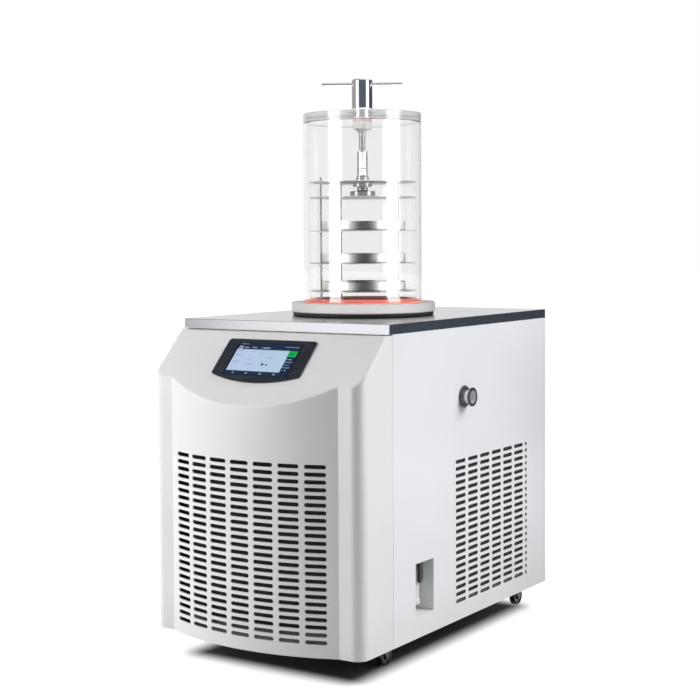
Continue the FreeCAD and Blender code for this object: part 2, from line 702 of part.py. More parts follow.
def make_rear_panel():
    """Flat rear panel with a grille and the cut-outs of the power inlet and switch."""
    panel = body("rear_panel")
    outer = rectangle(panel, "XZ", "-" + PANEL_IN, "castor_height", PANEL_IN, PANEL_TOP, "-" + BACK_Y)
    pad(panel, outer, "sheet")
    low_row = "rear_top_row - (rear_rows - 1) * row_pitch"
    first = slot(panel, "XZ", "-(rear_columns - 1) * slot_pitch / 2", low_row, "slot_length", "slot_height",
                 "-" + BACK_Y)
    pattern(panel, pocket(panel, first), first,
            [("H_Axis", "(rear_columns - 1) * slot_pitch", "rear_columns"),
             ("V_Axis", "(rear_rows - 1) * row_pitch", "rear_rows")])
    for width, height, middle in (("inlet_width", "inlet_tall", "inlet_height"),
                                  ("switch_width", "switch_tall", "inlet_height + switch_gap")):
        pocket(panel, rectangle(panel, "XZ", "inlet_side - %s / 2" % width, "%s - %s / 2" % (middle, height),
                                "inlet_side + %s / 2" % width, "%s + %s / 2" % (middle, height),
                                "-" + BACK_Y))
    node(panel, "rear_panel")


def make_worktop():
    """Folded stainless worktop with the mouth of the cold trap."""
    top = body("worktop")
    block = pad(top, rectangle(top, "XY", "-" + HALF_W, FRONT_Y, HALF_W, BACK_Y, PANEL_TOP), "worktop_edge")
    doc.recompute()
    low = number(PANEL_TOP)
    outer_edges = ["Edge%d" % (index + 1) for index, edge in enumerate(block.Shape.Edges)
                   if edge.BoundBox.ZMax > low + 1]
    bend = top.newObject("PartDesign::Fillet", "bend")
    bend.Base = (block, outer_edges)
    bind(bend, Radius="edge_round")
    pocket(top, rectangle(top, "XY", "-" + PANEL_IN, FRONT_Y + " + sheet", PANEL_IN, BACK_IN, PANEL_TOP),
           "worktop_edge - sheet", back=True)
    pocket(top, circles(top, "XY", [("0", "chamber_place", "trap_round + trap_wall")]))
    node(top, "worktop")


# ---------------------------------------------------------------- front cover

def facia_height(setback="0"):
    """Height of the facia's face at a place y, lowered square to the face by a setback."""
    return ("(%s - (%s) / cos(facia_angle) + (({y}) - %s) * tan(facia_angle))"
            % (COVER_TOP, setback, FACIA_Y))


def cover_solid(name, inset, back, low, top):
    """Full solid of the cover's outer face, or of its inner face for an inset of the wall."""
    solid = body(name)
    flat = "(%s + %s)" % (FLAT_Y, inset)
    cheek = "(%s - %s)" % (HALF_W, inset)
    corner = "(cover_corner - %s)" % inset
    radius = "(%s - %s)" % (BULGE_RADIUS, inset)
    chord = "sqrt(%s ^ 2 - (%s - %s) ^ 2)" % (radius, BULGE_Y, flat)
    turn = "(%s - %s)" % (cheek, corner)
    plan = [("-" + cheek, back),
            ("-" + cheek, "%s + %s" % (flat, corner), corner, "left"),
            ("-" + turn, flat),
            ("-" + chord, flat, radius, "left"),
            (chord, flat),
            (turn, flat, corner, "left"),
            (cheek, "%s + %s" % (flat, corner)),
            (cheek, back)]
    pad(solid, outline(solid, "XY", plan, low), "%s - %s" % (top, low))
    height = facia_height(inset)
    far = "(%s - bulge_depth - 60)" % FLAT_Y
    above = COVER_TOP + " + 60"
    meeting = "(%s - (%s - (%s)) / tan(facia_angle))" % (FACIA_Y, height.format(y=FACIA_Y), top)
    wedge = [(meeting, top), (meeting, above), (far, above), (far, height.format(y=far))]
    facia = pocket(solid, outline(solid, "YZ", wedge))
    if inset == "0":
        doc.recompute()
        rounding = solid.newObject("PartDesign::Fillet", "rounding")
        rounding.Base = (facia, facia_edges(facia.Shape))
        bind(rounding, Radius="facia_round")
    return solid


def facia_edges(shape):
    """Names of the edges round the sloped facia."""
    angle = math.radians(number("facia_angle"))
    outward = Vector(0, -math.sin(angle), math.cos(angle))
    facia = next(face for face in shape.Faces
                 if isinstance(face.Surface, Part.Plane) and (face.normalAt(0, 0) - outward).Length < 1e-4)
    return ["Edge%d" % (index + 1) for index, edge in enumerate(shape.Edges)
            if any(edge.isSame(other) for other in facia.Edges)]


def make_front_cover():
    """Moulded front cover: side cheeks, sloped facia, bulged front with its grille."""
    outer = cover_solid("cover_outer", "0", COVER_BACK, "castor_height", COVER_TOP)
    inner = cover_solid("cover_inner", "cover_wall", COVER_BACK + " + 5", "castor_height - 5",
                        COVER_TOP + " - cover_wall")
    window = body("display_window")
    reach = "(glass_width / 2 + module_border + gap_moving)"
    low = "(-bezel_start - glass_start - glass_height - module_border - gap_moving)"
    high = "(-bezel_start - glass_start + module_border + gap_moving)"
    pad(window, rectangle(window, "XY", "-" + reach, low, reach, high), "40", both=True)
    on_facia(window)
    node(cut("front_cover", outer, inner, window, grille_cutters()), "front_cover")


def on_facia(item):
    """Put an object on the facia: local x to the right, y up the slope, z outward."""
    place(item, "0", FACIA_Y, COVER_TOP, X_AXIS, "facia_angle")


def grille_cutters():
    """Slots of the front grille, square to the bulged face."""
    radius, middle = number(BULGE_RADIUS), number(BULGE_Y)
    half_height = number("slot_height") / 2
    half_length = number("slot_length") / 2 - half_height
    depth = number("cover_wall") + 6
    near = radius - number("cover_wall") - 3
    prism = obround(half_length, half_height, depth)
    columns, rows = int(number("front_columns")), int(number("front_rows"))
    step = math.degrees(number("slot_pitch") / radius)
    slots = []
    for column in range(columns):
        angle = (column - (columns - 1) / 2) * step
        turned_slot = prism.copy()
        turned_slot.Placement = Placement(Vector(0, middle, 0), Rotation(Z_AXIS, angle)).multiply(
            Placement(Vector(0, -near, 0), Rotation()))
        for row in range(rows):
            copy = turned_slot.copy()
            copy.translate(Vector(0, 0, number("front_top_row - %d * row_pitch" % row)))
            slots.append(copy)
    return feature("grille_cutters", Part.makeCompound(slots))


def obround(half_length, half_height, depth):
    """Slot-shaped prism along x, centred, running from y = 0 to -depth."""
    left, right = Vector(-half_length, 0, 0), Vector(half_length, 0, 0)
    up = Vector(0, 0, half_height)
    edges = [Part.LineSegment(left - up, right - up).toShape(),
             Part.Arc(right - up, right + Vector(half_height, 0, 0), right + up).toShape(),
             Part.LineSegment(right + up, left + up).toShape(),
             Part.Arc(left + up, left - Vector(half_height, 0, 0), left - up).toShape()]
    return Part.Face(Part.Wire(edges)).extrude(Vector(0, -depth, 0))


def make_screen():
    """Screen bezel with a bowed lower edge, and the display module in its window."""
    bezel = body("screen_bezel")
    high = "-bezel_start"
    low = "(-bezel_start - bezel_side)"
    bow = "((bezel_half - bezel_corner) ^ 2 + bezel_bow ^ 2) / (2 * bezel_bow)"
    near_side = "(bezel_half - bezel_corner)"
    path = [("-bezel_half", low + " + bezel_corner", "bezel_corner", "left"),
            ("-" + near_side, low, bow, "left"),
            (near_side, low, "bezel_corner", "left"),
            ("bezel_half", low + " + bezel_corner"),
            ("bezel_half", high + " - bezel_corner", "bezel_corner", "left"),
            (near_side, high),
            ("-" + near_side, high, "bezel_corner", "left"),
            ("-bezel_half", high + " - bezel_corner")]
    pad(bezel, outline(bezel, "XY", path), "bezel_proud")
    glass = ("-glass_width / 2", "-bezel_start - glass_start - glass_height",
             "glass_width / 2", "-bezel_start - glass_start")
    pocket(bezel, rectangle(bezel, "XY", *glass))
    on_facia(bezel)
    node(bezel, "screen_bezel")

    display = body("display")
    module = ("%s - module_border" % glass[0], "%s - module_border" % glass[1],
              "%s + module_border" % glass[2], "%s + module_border" % glass[3])
    pad(display, rectangle(display, "XY", *module), "module_depth", back=True)
    pad(display, rectangle(display, "XY", *glass), "bezel_proud - glass_inset")
    on_facia(display)
    node(display, "display")


# ---------------------------------------------------------------- recess and drain

CEILING = "(recess_high + recess_headroom)"
VALVE_X = "(cabinet_width / 2 - valve_inset)"
VALVE_Y = "((recess_front + recess_back) / 2 - valve_shift)"
LEVER_X = "(%s + union_round + gap_moving)" % VALVE_X
PIVOT_Z = "(%s - lever_pivot)" % CEILING


def make_recess_pocket():
    """Five-sided pocket behind the recess, with a hole for the valve's inlet."""
    recess = body("recess_pocket")
    outer = ("recess_front - pocket_wall", "recess_low - pocket_wall",
             "recess_back + pocket_wall", CEILING + " + pocket_wall")
    pad(recess, rectangle(recess, "YZ", *outer, offset=PANEL_IN), "recess_deep + pocket_wall", back=True)
    inner = ("recess_front", "recess_low", "recess_back", CEILING)
    pocket(recess, rectangle(recess, "YZ", *inner, offset=PANEL_IN), "recess_deep")
    inlet = circles(recess, "XY", [(VALVE_X, VALVE_Y, "drain_pipe")], CEILING + " - 5")
    pocket(recess, inlet, "20", back=True)
    node(recess, "recess_pocket")


def make_drain_valve():
    """Upright drain valve with a union, a spout, a through bore and the lever's stem."""
    neck = "(valve_round - 1.5)"
    profile = [("drain_bore", "-valve_length"), ("spout_round", "-valve_length"),
               ("spout_round", "-valve_length + spout_length"),
               ("valve_round", "-valve_length + spout_length"),
               ("valve_round", "-valve_length + spout_length + 9"),
               (neck, "-valve_length + spout_length + 11"),
               (neck, "-lever_pivot - valve_round - 3"), ("valve_round", "-lever_pivot - valve_round - 1"),
               ("valve_round", "-lever_pivot + valve_round + 1"), (neck, "-lever_pivot + valve_round + 3"),
               (neck, "-11"), ("union_round", "-9"), ("union_round", "0"), ("drain_pipe", "0"),
               ("drain_pipe", "pocket_wall"), ("drain_bore", "pocket_wall")]
    valve = turned("valve_body", profile, VALVE_X, VALVE_Y, CEILING)
    base = VALVE_X + " + drain_bore + 1"
    reach = "(%s + lever_thick - lever_face - gap_moving - (%s))" % (LEVER_X, base)
    stem = cylinder("valve_stem", "stem_round", reach, (base, VALVE_Y, PIVOT_Z), X_AXIS)
    node(fuse("drain_valve", valve, stem), "drain_valve")


def make_drain_lever():
    """Flat lever of the drain valve, with a chamfered lower corner and a blind hole for the stem."""
    lever = body("drain_lever")
    half = "(lever_width / 2)"
    low = "(-lever_down)"
    path = [("-" + half, low), (half + " - lever_chamfer", low), (half, low + " + lever_chamfer"),
            (half, "lever_up - lever_corner"), (half + " - lever_corner", "lever_up"),
            ("-%s + lever_corner" % half, "lever_up"), ("-" + half, "lever_up - lever_corner")]
    pad(lever, outline(lever, "YZ", path), "lever_thick")
    hole = circles(lever, "YZ", [("0", "0", "stem_round + gap_running")])
    pocket(lever, hole, "lever_thick - lever_face", back=True)
    place(lever, LEVER_X, VALVE_Y, PIVOT_Z)
    node(lever, "drain_lever")


def make_drain_pipe():
    """Pipe from the cold trap's floor down to the drain valve."""
    start = point("0", "chamber_place", TRAP_FLOOR + " - trap_wall")
    end = point(VALVE_X, VALVE_Y, CEILING + " + pocket_wall")
    below = number("foam_wall") + 1.5 * number("drain_bend")
    rise = 4 * number("drain_bend")
    points = [start, start - Vector(0, 0, below), end + Vector(0, 0, rise), end]
    shape = pipe(points, number("drain_pipe"), number("drain_bend"), number("drain_bore"))
    node(feature("drain_pipe", shape), "drain_pipe")


# ---------------------------------------------------------------- vacuum port

def make_vacuum_port():
    """Straight port tube from the cold trap with a small-flange end."""
    face = "(cabinet_width / 2 + port_reach)"
    start = "(trap_round - 5)"
    behind = "(%s - port_flange_rim)" % face
    profile = [(start, "port_bore"), (face, "port_bore"), (face, "port_flange"), (behind, "port_flange"),
               (behind + " - port_flange_cone", "port_tube"), (start, "port_tube")]
    port = body("vacuum_port")
    revolve(port, outline(port, "XY", profile), "H_Axis")
    place(port, "0", "port_place", "port_height")
    node(port, "vacuum_port")

    collar = body("port_collar")
    back, front = HALF_W, HALF_W + " + collar_thick"
    profile = [(back, "port_tube"), (front, "port_tube"), (front, "collar_round - 1.5"),
               (front + " - 1.5", "collar_round"), (back, "collar_round")]
    revolve(collar, outline(collar, "XY", profile), "H_Axis")
    place(collar, "0", "port_place", "port_height")
    node(collar, "port_collar")


# ---------------------------------------------------------------- castors

CASTORS = [("front_left", "-castor_half", "castor_front"), ("front_right", "castor_half", "castor_front"),
           ("rear_left", "-castor_half", "castor_back"), ("rear_right", "castor_half", "castor_back")]
RACE_LOW = "(castor_height - plate_thick - race_height)"
FORK_TOP = "(%s - gap_moving)" % RACE_LOW


def make_castors():
    """Four swivel castors: fixed plates with kingpins, forks with axles, wheels."""
    plates = [make_castor_plate(*castor) for castor in CASTORS]
    node(compound("castor_plates", *plates), "castor_plates")
    for name, x, y in CASTORS:
        make_castor_fork("castor_fork_" + name, x, y)
        make_castor_wheel("castor_wheel_" + name, x, y)


def make_castor_plate(name, x, y):
    """Square plate, swivel race and kingpin with its head."""
    corner = (x + " - castor_plate / 2", y + " - castor_plate / 2", "castor_height - plate_thick")
    plate = box("plate_" + name, corner, ("castor_plate", "castor_plate", "plate_thick"))
    race = cylinder("race_" + name, "race_round", "race_height", (x, y, RACE_LOW))
    below = "(gap_moving + fork_wall + gap_moving)"
    pin = cylinder("pin_" + name, "kingpin_round", below, (x, y, "%s - %s" % (RACE_LOW, below)))
    head = cylinder("head_" + name, "kingpin_round + 2.5", "1.6", (x, y, "%s - %s - 1.6" % (RACE_LOW, below)))
    return fuse("swivel_" + name, plate, race, pin, head)


def make_castor_fork(label, x, y):
    """Fork with a bored top, two cheeks and the wheel's axle."""
    fork = body(label)
    tall = FORK_TOP
    path = [("wheel_trail - 7", "wheel_round"), ("wheel_trail - 4", "wheel_round - 6"),
            ("wheel_trail + 4", "wheel_round - 6"), ("wheel_trail + 7", "wheel_round"),
            ("wheel_trail + 10", tall), ("-13", tall), ("-13", tall + " - 5")]
    cheeks = "(wheel_width + 2 * gap_moving + 2 * fork_wall)"
    pad(fork, outline(fork, "YZ", path), cheeks, both=True)
    space = rectangle(fork, "YZ", "-30", "-5", "wheel_trail + 30", tall + " - fork_wall")
    wide_pocket(fork, space, "wheel_width + 2 * gap_moving")
    pocket(fork, circles(fork, "XY", [("0", "0", "kingpin_round + gap_running")]))
    pad(fork, circles(fork, "YZ", [("wheel_trail", "wheel_round", "axle_round")]), cheeks, both=True)
    place(fork, x, y)
    node(fork, label)


def make_castor_wheel(label, x, y):
    """Wheel with rounded shoulders, turning on the fork's axle."""
    wheel = body(label)
    half = "(wheel_width / 2)"
    bore = "axle_round + gap_running"
    hub = "(axle_round + 5)"
    rim = "(wheel_round - 4.5)"
    profile = [("-" + half, bore), (half, bore), (half, hub), (half + " - 2", hub), (half + " - 2", rim),
               (half, rim), (half, "wheel_round - 2"), (half + " - 2", "wheel_round"),
               ("-%s + 2" % half, "wheel_round"), ("-" + half, "wheel_round - 2"), ("-" + half, rim),
               ("-%s + 2" % half, rim), ("-%s + 2" % half, hub), ("-" + half, hub)]
    revolve(wheel, outline(wheel, "XY", profile), "H_Axis")
    place(wheel, x, y + " + wheel_trail", "wheel_round")
    node(wheel, label)


# ---------------------------------------------------------------- cold trap and refrigeration

COIL_LOW = "(%s + coil_lift)" % TRAP_FLOOR
COIL_INNER = "(coil_round - 16)"
CORE_FRONT = "(%s + tray_wall + core_gap)" % TRAY_FRONT
CORE_BACK = "(%s + core_depth)" % CORE_FRONT
CORE_MIDDLE = "(%s + core_depth / 2)" % CORE_FRONT
STUB_HIGH = "(%s + core_height - 25)" % TRAY_TOP
STUB_LOW = "(%s + 28)" % TRAY_TOP
FAN_HEIGHT = "(%s + core_height / 2)" % TRAY_TOP
SHROUD_BACK = "(%s + shroud_depth)" % CORE_BACK
SHELL_LOW = "(%s + foot_height)" % TRAY_TOP
SHELL_TOP = "(%s + shell_height)" % SHELL_LOW


def make_cold_trap():
    """Stainless vessel that hangs by its flange, with holes for port, drain and coil."""
    outer = "(trap_round + trap_wall)"
    floor, under = "-trap_depth", "(-trap_depth - trap_wall)"
    profile = [("drain_bore", under), (outer, under), (outer, "0"), ("trap_flange", "0"),
               ("trap_flange", "trap_wall"), ("trap_round", "trap_wall"), ("trap_round", floor),
               ("drain_bore", floor)]
    vessel = turned("trap_vessel", profile, "0", "chamber_place", "worktop_top")
    port = cylinder("trap_port", "port_tube", "trap_flange", ("0", "port_place", "port_height"), X_AXIS)
    legs = [cylinder("trap_leg", "coil_tube", "3 * trap_wall",
                     ("0", "chamber_place + " + reach, TRAP_FLOOR + " - 2 * trap_wall"))
            for reach in ("coil_round", COIL_INNER)]
    node(cut("cold_trap", vessel, port, *legs), "cold_trap")


def make_evaporator_coil():
    """Helical coil inside the trap; both ends leave straight down through its floor."""
    mean, tube, pitch = number("coil_round"), number("coil_tube"), number("coil_pitch")
    inner = number(COIL_INNER)
    centre = point("0", "chamber_place", "0")
    low, rise = number(COIL_LOW), pitch * number("coil_turns")
    helix = Part.makeHelix(pitch, rise, mean)
    ring = Part.Wire([Part.makeCircle(tube, Vector(mean, 0, 0), Y_AXIS)])
    coil = Part.Wire(helix.Edges).makePipeShell([ring], True, True)
    coil.rotate(Vector(), Z_AXIS, 90)
    coil.translate(centre + Vector(0, 0, low))
    end = number("coil_end")
    first, last = centre + Vector(0, mean, 0), centre + Vector(0, inner, 0)
    down = Vector(0, 0, -1)
    top = Vector(0, 0, low + rise)
    parts = [Part.makeCylinder(tube, low - end, first + Vector(0, 0, low), down),
             Part.makeSphere(tube, first + Vector(0, 0, low)),
             Part.makeSphere(tube, first + top),
             Part.makeCylinder(tube, mean - inner, first + top, Vector(0, -1, 0)),
             Part.makeSphere(tube, last + top),
             Part.makeCylinder(tube, low + rise - end, last + top, down)]
    node(feature("evaporator_coil", coil.multiFuse(parts)), "evaporator_coil")


def make_trap_insulation():
    """Foam jacket round the trap, with clear holes for port tube, coil ends and drain."""
    inner = "(trap_round + trap_wall)"
    outer = "(%s + foam_wall)" % inner
    top = "(-sheet - 4)"
    floor = "(-trap_depth - trap_wall)"
    profile = [("drain_pipe", floor + " - foam_wall"), (outer, floor + " - foam_wall"), (outer, top),
               (inner, top), (inner, floor), ("drain_pipe", floor)]
    jacket = turned("foam_jacket", profile, "0", "chamber_place", "worktop_top")
    port = cylinder("foam_port", "port_tube", "2 * trap_flange", ("0", "port_place", "port_height"), X_AXIS)
    legs = [cylinder("foam_leg", "coil_tube", "2 * foam_wall",
                     ("0", "chamber_place + " + reach, FOAM_LOW + " - 5"))
            for reach in ("coil_round", COIL_INNER)]
    node(cut("trap_insulation", jacket, port, *legs), "trap_insulation")


def make_compressor():
    """Sealed compressor shell with a seam band, four feet and two pipe stubs."""
    dome = "(shell_round * 0.35)"
    arc = "((shell_round ^ 2 + %s ^ 2) / (2 * %s))" % (dome, dome)
    high = "(shell_height - %s)" % dome
    seam = "(shell_height * 0.55)"
    profile = [("0", "0"), ("shell_round - 12", "0"), ("shell_round", "12"), ("shell_round", seam),
               ("shell_round + 3", seam), ("shell_round + 3", seam + " + 8"), ("shell_round", seam + " + 8"),
               ("shell_round", high, arc, "left"), ("0", "shell_height")]
    shell = turned("shell", profile, "compressor_side", "compressor_place", SHELL_LOW)
    base = box("shell_base", ("compressor_side - shell_round", "compressor_place - shell_round * 0.7",
                              SHELL_LOW + " - 4"), ("2 * shell_round", "1.4 * shell_round", "5"))
    feet = [cylinder("shell_foot", "9", "foot_height - 3",
                     ("compressor_side + %d * (shell_round - 12)" % x,
                      "compressor_place + %d * (shell_round * 0.7 - 12)" % y, TRAY_TOP))
            for x in (-1, 1) for y in (-1, 1)]
    stubs = [cylinder("shell_stub", "pipe_round + 1.2", "40",
                      ("compressor_side + %d * 30" % side, "compressor_place", SHELL_TOP + " - 30"))
             for side in (-1, 1)]
    node(fuse("compressor", shell, base, *feet, *stubs), "compressor")


def make_condenser():
    """Finned block with open air passages and two pipe stubs at its right side."""
    core = body("core")
    half = "(core_width / 2)"
    top = "(%s + core_height)" % TRAY_TOP
    pad(core, rectangle(core, "XZ", "-" + half, TRAY_TOP, half, top, "-" + CORE_BACK), "core_depth")
    pitch = "((core_width - 20) / core_columns)"
    left = "(-%s + 10 + (%s - core_passage) / 2)" % (half, pitch)
    first = rectangle(core, "XZ", left, TRAY_TOP + " + 12", left + " + core_passage", top + " - 12",
                      "-" + CORE_BACK)
    pattern(core, pocket(core, first), first, [("H_Axis", "%s * (core_columns - 1)" % pitch, "core_columns")])
    stubs = [cylinder("core_stub", "pipe_round + 1.2", "12", (half + " - 4", CORE_MIDDLE, height), X_AXIS)
             for height in (STUB_HIGH, STUB_LOW)]
    node(fuse("condenser", core, *stubs), "condenser")


def make_fan():
    """Fan shroud with a collar, motor on spider arms, and the rotor on its shaft."""
    half = "(core_width / 2)"
    plate = box("shroud_plate", ("-" + half, CORE_BACK, TRAY_TOP), ("core_width", "tray_wall", "core_height"))
    start = ("0", CORE_BACK, FAN_HEIGHT)
    ring = cylinder("shroud_ring", "shroud_bore + tray_wall", "shroud_depth", start, Y_AXIS)
    before = ("0", CORE_BACK + " - 5", FAN_HEIGHT)
    bore = cylinder("shroud_hole", "shroud_bore", "shroud_depth + 10", before, Y_AXIS)
    node(cut("fan_shroud", fuse("shroud_blank", plate, ring), bore), "fan_shroud")

    motor = cylinder("motor_can", "motor_round", "motor_length", ("0", SHROUD_BACK, FAN_HEIGHT), Y_AXIS)
    reach = "(shroud_bore + tray_wall)"
    below = "(%s - %s)" % (FAN_HEIGHT, reach)
    arms = [box("arm_level", ("-" + reach, SHROUD_BACK, FAN_HEIGHT + " - 8"), ("2 * " + reach, "3", "16")),
            box("arm_upright", ("-8", SHROUD_BACK, below), ("16", "3", "2 * " + reach))]
    shaft_length = "(shroud_depth - 5)"
    shaft = cylinder("motor_shaft", "shaft_round", shaft_length,
                     ("0", "%s - %s" % (SHROUD_BACK, shaft_length), FAN_HEIGHT), Y_AXIS)
    node(fuse("fan_motor", motor, *arms, shaft), "fan_motor")
    node(feature("fan_rotor", rotor_shape()), "fan_rotor")


def rotor_shape():
    """Hub with pitched flat blades, bored for the shaft."""
    hub, tip, depth = number("rotor_hub"), number("rotor_round"), number("rotor_depth")
    chord, thick = 2 * number("rotor_depth") + 14, number("blade_thick")
    solid = Part.makeCylinder(hub, depth, Vector(0, 0, -depth / 2))
    count = int(number("rotor_blades"))
    for index in range(count):
        blade = Part.makeBox(tip + 10, chord, thick, Vector(hub - 4, -chord / 2, -thick / 2))
        blade.rotate(Vector(), X_AXIS, number("blade_angle"))
        blade.rotate(Vector(), Z_AXIS, index * 360 / count)
        solid = solid.fuse(blade.common(Part.makeCylinder(tip, 4 * depth, Vector(0, 0, -2 * depth))))
    bore = number("shaft_round + gap_running")
    solid = solid.cut(Part.makeCylinder(bore, 4 * depth, Vector(0, 0, -2 * depth)))
    solid.rotate(Vector(), X_AXIS, 90)
    middle = "%s - (shroud_depth - tray_wall) / 2" % SHROUD_BACK
    solid.translate(point("0", middle, FAN_HEIGHT))
    return solid


def make_filter_drier():
    """Filter drier: a can with coned ends and pipe necks, standing between its pipes."""
    neck = "(pipe_round + 1)"
    high = "drier_length"
    profile = [("0", "0"), (neck, "0"), (neck, "8"), ("drier_round", "20"), ("drier_round", high + " - 20"),
               (neck, high + " - 8"), (neck, high), ("0", high)]
    node(turned("filter_drier", profile, "drier_side", "drier_place", "drier_low"), "filter_drier")


def make_refrigerant_pipes():
    """Discharge, liquid, expansion and suction pipes of the refrigeration circuit."""
    radius, bend = number("pipe_round"), number("pipe_bend")
    stub_top = SHELL_TOP + " + 10"
    above = stub_top + " + 3 * pipe_bend"
    side = "(core_width / 2 + 8)"
    lane = "(core_width / 2 + 8 + 1.3 * pipe_bend)"
    discharge = [point("compressor_side + 30", "compressor_place", stub_top),
                 point("compressor_side + 30", "compressor_place", above),
                 point(lane, "compressor_place", above),
                 point(lane, CORE_MIDDLE, above),
                 point(lane, CORE_MIDDLE, STUB_HIGH),
                 point(side, CORE_MIDDLE, STUB_HIGH)]
    drier_top = "(drier_low + drier_length)"
    liquid = [point(side, CORE_MIDDLE, STUB_LOW), point(lane, CORE_MIDDLE, STUB_LOW),
              point(lane, "drier_place", STUB_LOW), point("drier_side", "drier_place", STUB_LOW),
              point("drier_side", "drier_place", "drier_low")]
    outer_leg, inner_leg = "chamber_place + coil_round", "chamber_place + " + COIL_INNER
    turn = "(coil_end - 4 * pipe_bend)"
    expansion = [point("drier_side", "drier_place", drier_top),
                 point("drier_side", "drier_place", turn), point("0", outer_leg, turn),
                 point("0", outer_leg, "coil_end")]
    return_height = "(coil_end - 7 * pipe_bend)"
    suction = [point("0", inner_leg, "coil_end"), point("0", inner_leg, return_height),
               point("compressor_side - 30", "compressor_place", return_height),
               point("compressor_side - 30", "compressor_place", stub_top)]
    runs = [pipe(points, radius, bend) for points in (discharge, liquid, expansion, suction)]
    node(feature("refrigerant_pipes", Part.makeCompound(runs)), "refrigerant_pipes")


def make_rear_connections():
    """Power module: a pinned inlet and a switch bay in one housing, and its rocker."""
    module = body("power_module")
    bays = {"inlet": ("inlet_width / 2", "inlet_tall / 2", "0"),
            "switch": ("switch_width / 2", "switch_tall / 2", "switch_gap")}
    side, low = "(inlet_width / 2 + 4)", "(-inlet_tall / 2 - 4)"
    high = "(switch_gap + switch_tall / 2 + 4)"
    pad(module, rectangle(module, "XZ", "-" + side, low, side, high, "0"), "2")
    for width, height, middle in bays.values():
        corners = ("-" + width, "%s - %s" % (middle, height), width, "%s + %s" % (middle, height))
        pad(module, rectangle(module, "XZ", *corners, "2"), "24")
        hollow = ("-%s + 2" % width, "%s - %s + 2" % (middle, height),
                  width + " - 2", "%s + %s - 2" % (middle, height))
        pocket(module, rectangle(module, "XZ", *hollow), "20", back=True)
    for u, v in (("-7", "-2"), ("0", "3"), ("7", "-2")):
        pin = rectangle(module, "XZ", u + " - 1", v + " - 2.5", u + " + 1", v + " + 2.5", "20")
        pad(module, pin, "17", back=True)
    pad(module, circles(module, "YZ", [("-4", "switch_gap", "1.6")]), "switch_width - 2", both=True)
    place(module, "inlet_side", BACK_Y + " + 2", "inlet_height")
    node(module, "power_module")

    rocker = body("switch_rocker")
    top = "(switch_tall / 2 - 3.8)"
    path = [("-10", "-%s + 1" % top), ("-1", "-" + top), ("-2.6", "0"), ("1.6", top), ("-10", top + " - 1")]
    pad(rocker, outline(rocker, "YZ", path), "switch_width - 5", both=True)
    pocket(rocker, circles(rocker, "YZ", [("-4", "0", "1.6 + gap_running")]))
    place(rocker, "inlet_side", BACK_Y + " + 2", "inlet_height + switch_gap")
    node(rocker, "switch_rocker")


# ---------------------------------------------------------------- chamber

def make_chamber():
    """Rubber ring, base disc, gasket, clear tube and clear lid."""
    side = "((ring_height / 2) ^ 2 + ring_bulge ^ 2) / (2 * ring_bulge)"
    low = "(ring_round - ring_bulge)"
    profile = [("ring_inner", "0"), (low, "0", side, "left"), (low, "ring_height"),
               ("ring_inner", "ring_height")]
    node(turned("rubber_ring", profile, "0", "chamber_place", "worktop_top"), "rubber_ring")

    edge = "(disc_round - 2)"
    profile = [("disc_bore", "0"), (edge, "0"), ("disc_round", "2"), ("disc_round", "disc_height - 2"),
               (edge, "disc_height"), ("disc_bore", "disc_height")]
    node(turned("base_disc", profile, "0", "chamber_place", "disc_low"), "base_disc")

    rim, inner = "(tube_round + gasket_lip)", "(tube_round - tube_wall)"
    crest = "(gasket_base + gasket_rise)"
    profile = [("gasket_inner", "0"), (rim, "0"), (rim, "gasket_base"), (inner, "gasket_base"),
               (inner, crest + " - 1"), (inner + " - 1", crest), ("gasket_inner + 1", crest),
               ("gasket_inner", crest + " - 1")]
    node(turned("gasket", profile, "0", "chamber_place", "disc_top"), "gasket")

    profile = [(inner, "0"), ("tube_round", "0"), ("tube_round", "tube_length"), (inner, "tube_length")]
    node(turned("chamber_tube", profile, "0", "chamber_place", TUBE_LOW), "chamber_tube")

    profile = [("gland_barrel", "seal_seat"), ("gland_round", "seal_seat"), ("gland_round", "0"),
               ("tube_round - 0.8", "0"), ("tube_round", "0.8"), ("tube_round", "lid_thick - 0.8"),
               ("tube_round - 0.8", "lid_thick"), ("gland_barrel", "lid_thick")]
    node(turned("chamber_lid", profile, "0", "chamber_place", LID_LOW), "chamber_lid")


def make_gland():
    """Sealed gland of the drive rod: flanged barrel, seal ring and nut under the lid."""
    bore = "(drive_round + gap_running)"
    low = "(-gland_barrel_drop)"
    top = "(lid_thick + gland_rise)"
    profile = [(bore, low), ("gland_barrel", low), ("gland_barrel", "lid_thick"),
               ("gland_round", "lid_thick"), ("gland_round", top + " - 1"), ("gland_round - 1", top),
               (bore, top)]
    node(turned("lid_gland", profile, "0", "chamber_place", LID_LOW), "lid_gland")

    profile = [("gland_barrel", "seal_seat - seal_height"), ("gland_round", "seal_seat - seal_height"),
               ("gland_round", "seal_seat"), ("gland_barrel", "seal_seat")]
    node(turned("gland_seal", profile, "0", "chamber_place", LID_LOW), "gland_seal")

    top = "(seal_seat - seal_height)"
    low = "(%s - gland_nut_height)" % top
    floor = "(-gland_barrel_drop)"
    collar_low = "(%s - gland_collar_height)" % low
    profile = [("gland_barrel", top), ("gland_barrel", floor), (bore, floor), (bore, collar_low),
               ("gland_collar", collar_low), ("gland_collar", low),
               ("gland_nut_round - 1.5", low), ("gland_nut_round", low + " + 1.5"), ("gland_nut_round", top)]
    node(turned("gland_nut", profile, "0", "chamber_place", LID_LOW), "gland_nut")


# ---------------------------------------------------------------- rack and trays

ROD_DIRECTIONS = ("rod_left", "rod_right", "rod_rear")
SHELVES = [("low", "shelf_low"), ("middle", "shelf_middle"), ("high", "shelf_high")]


def rod_place(direction):
    """Centre of a guide rod relative to the chamber axis."""
    return "(rod_circle * cos(%s))" % direction, "(rod_circle * sin(%s))" % direction


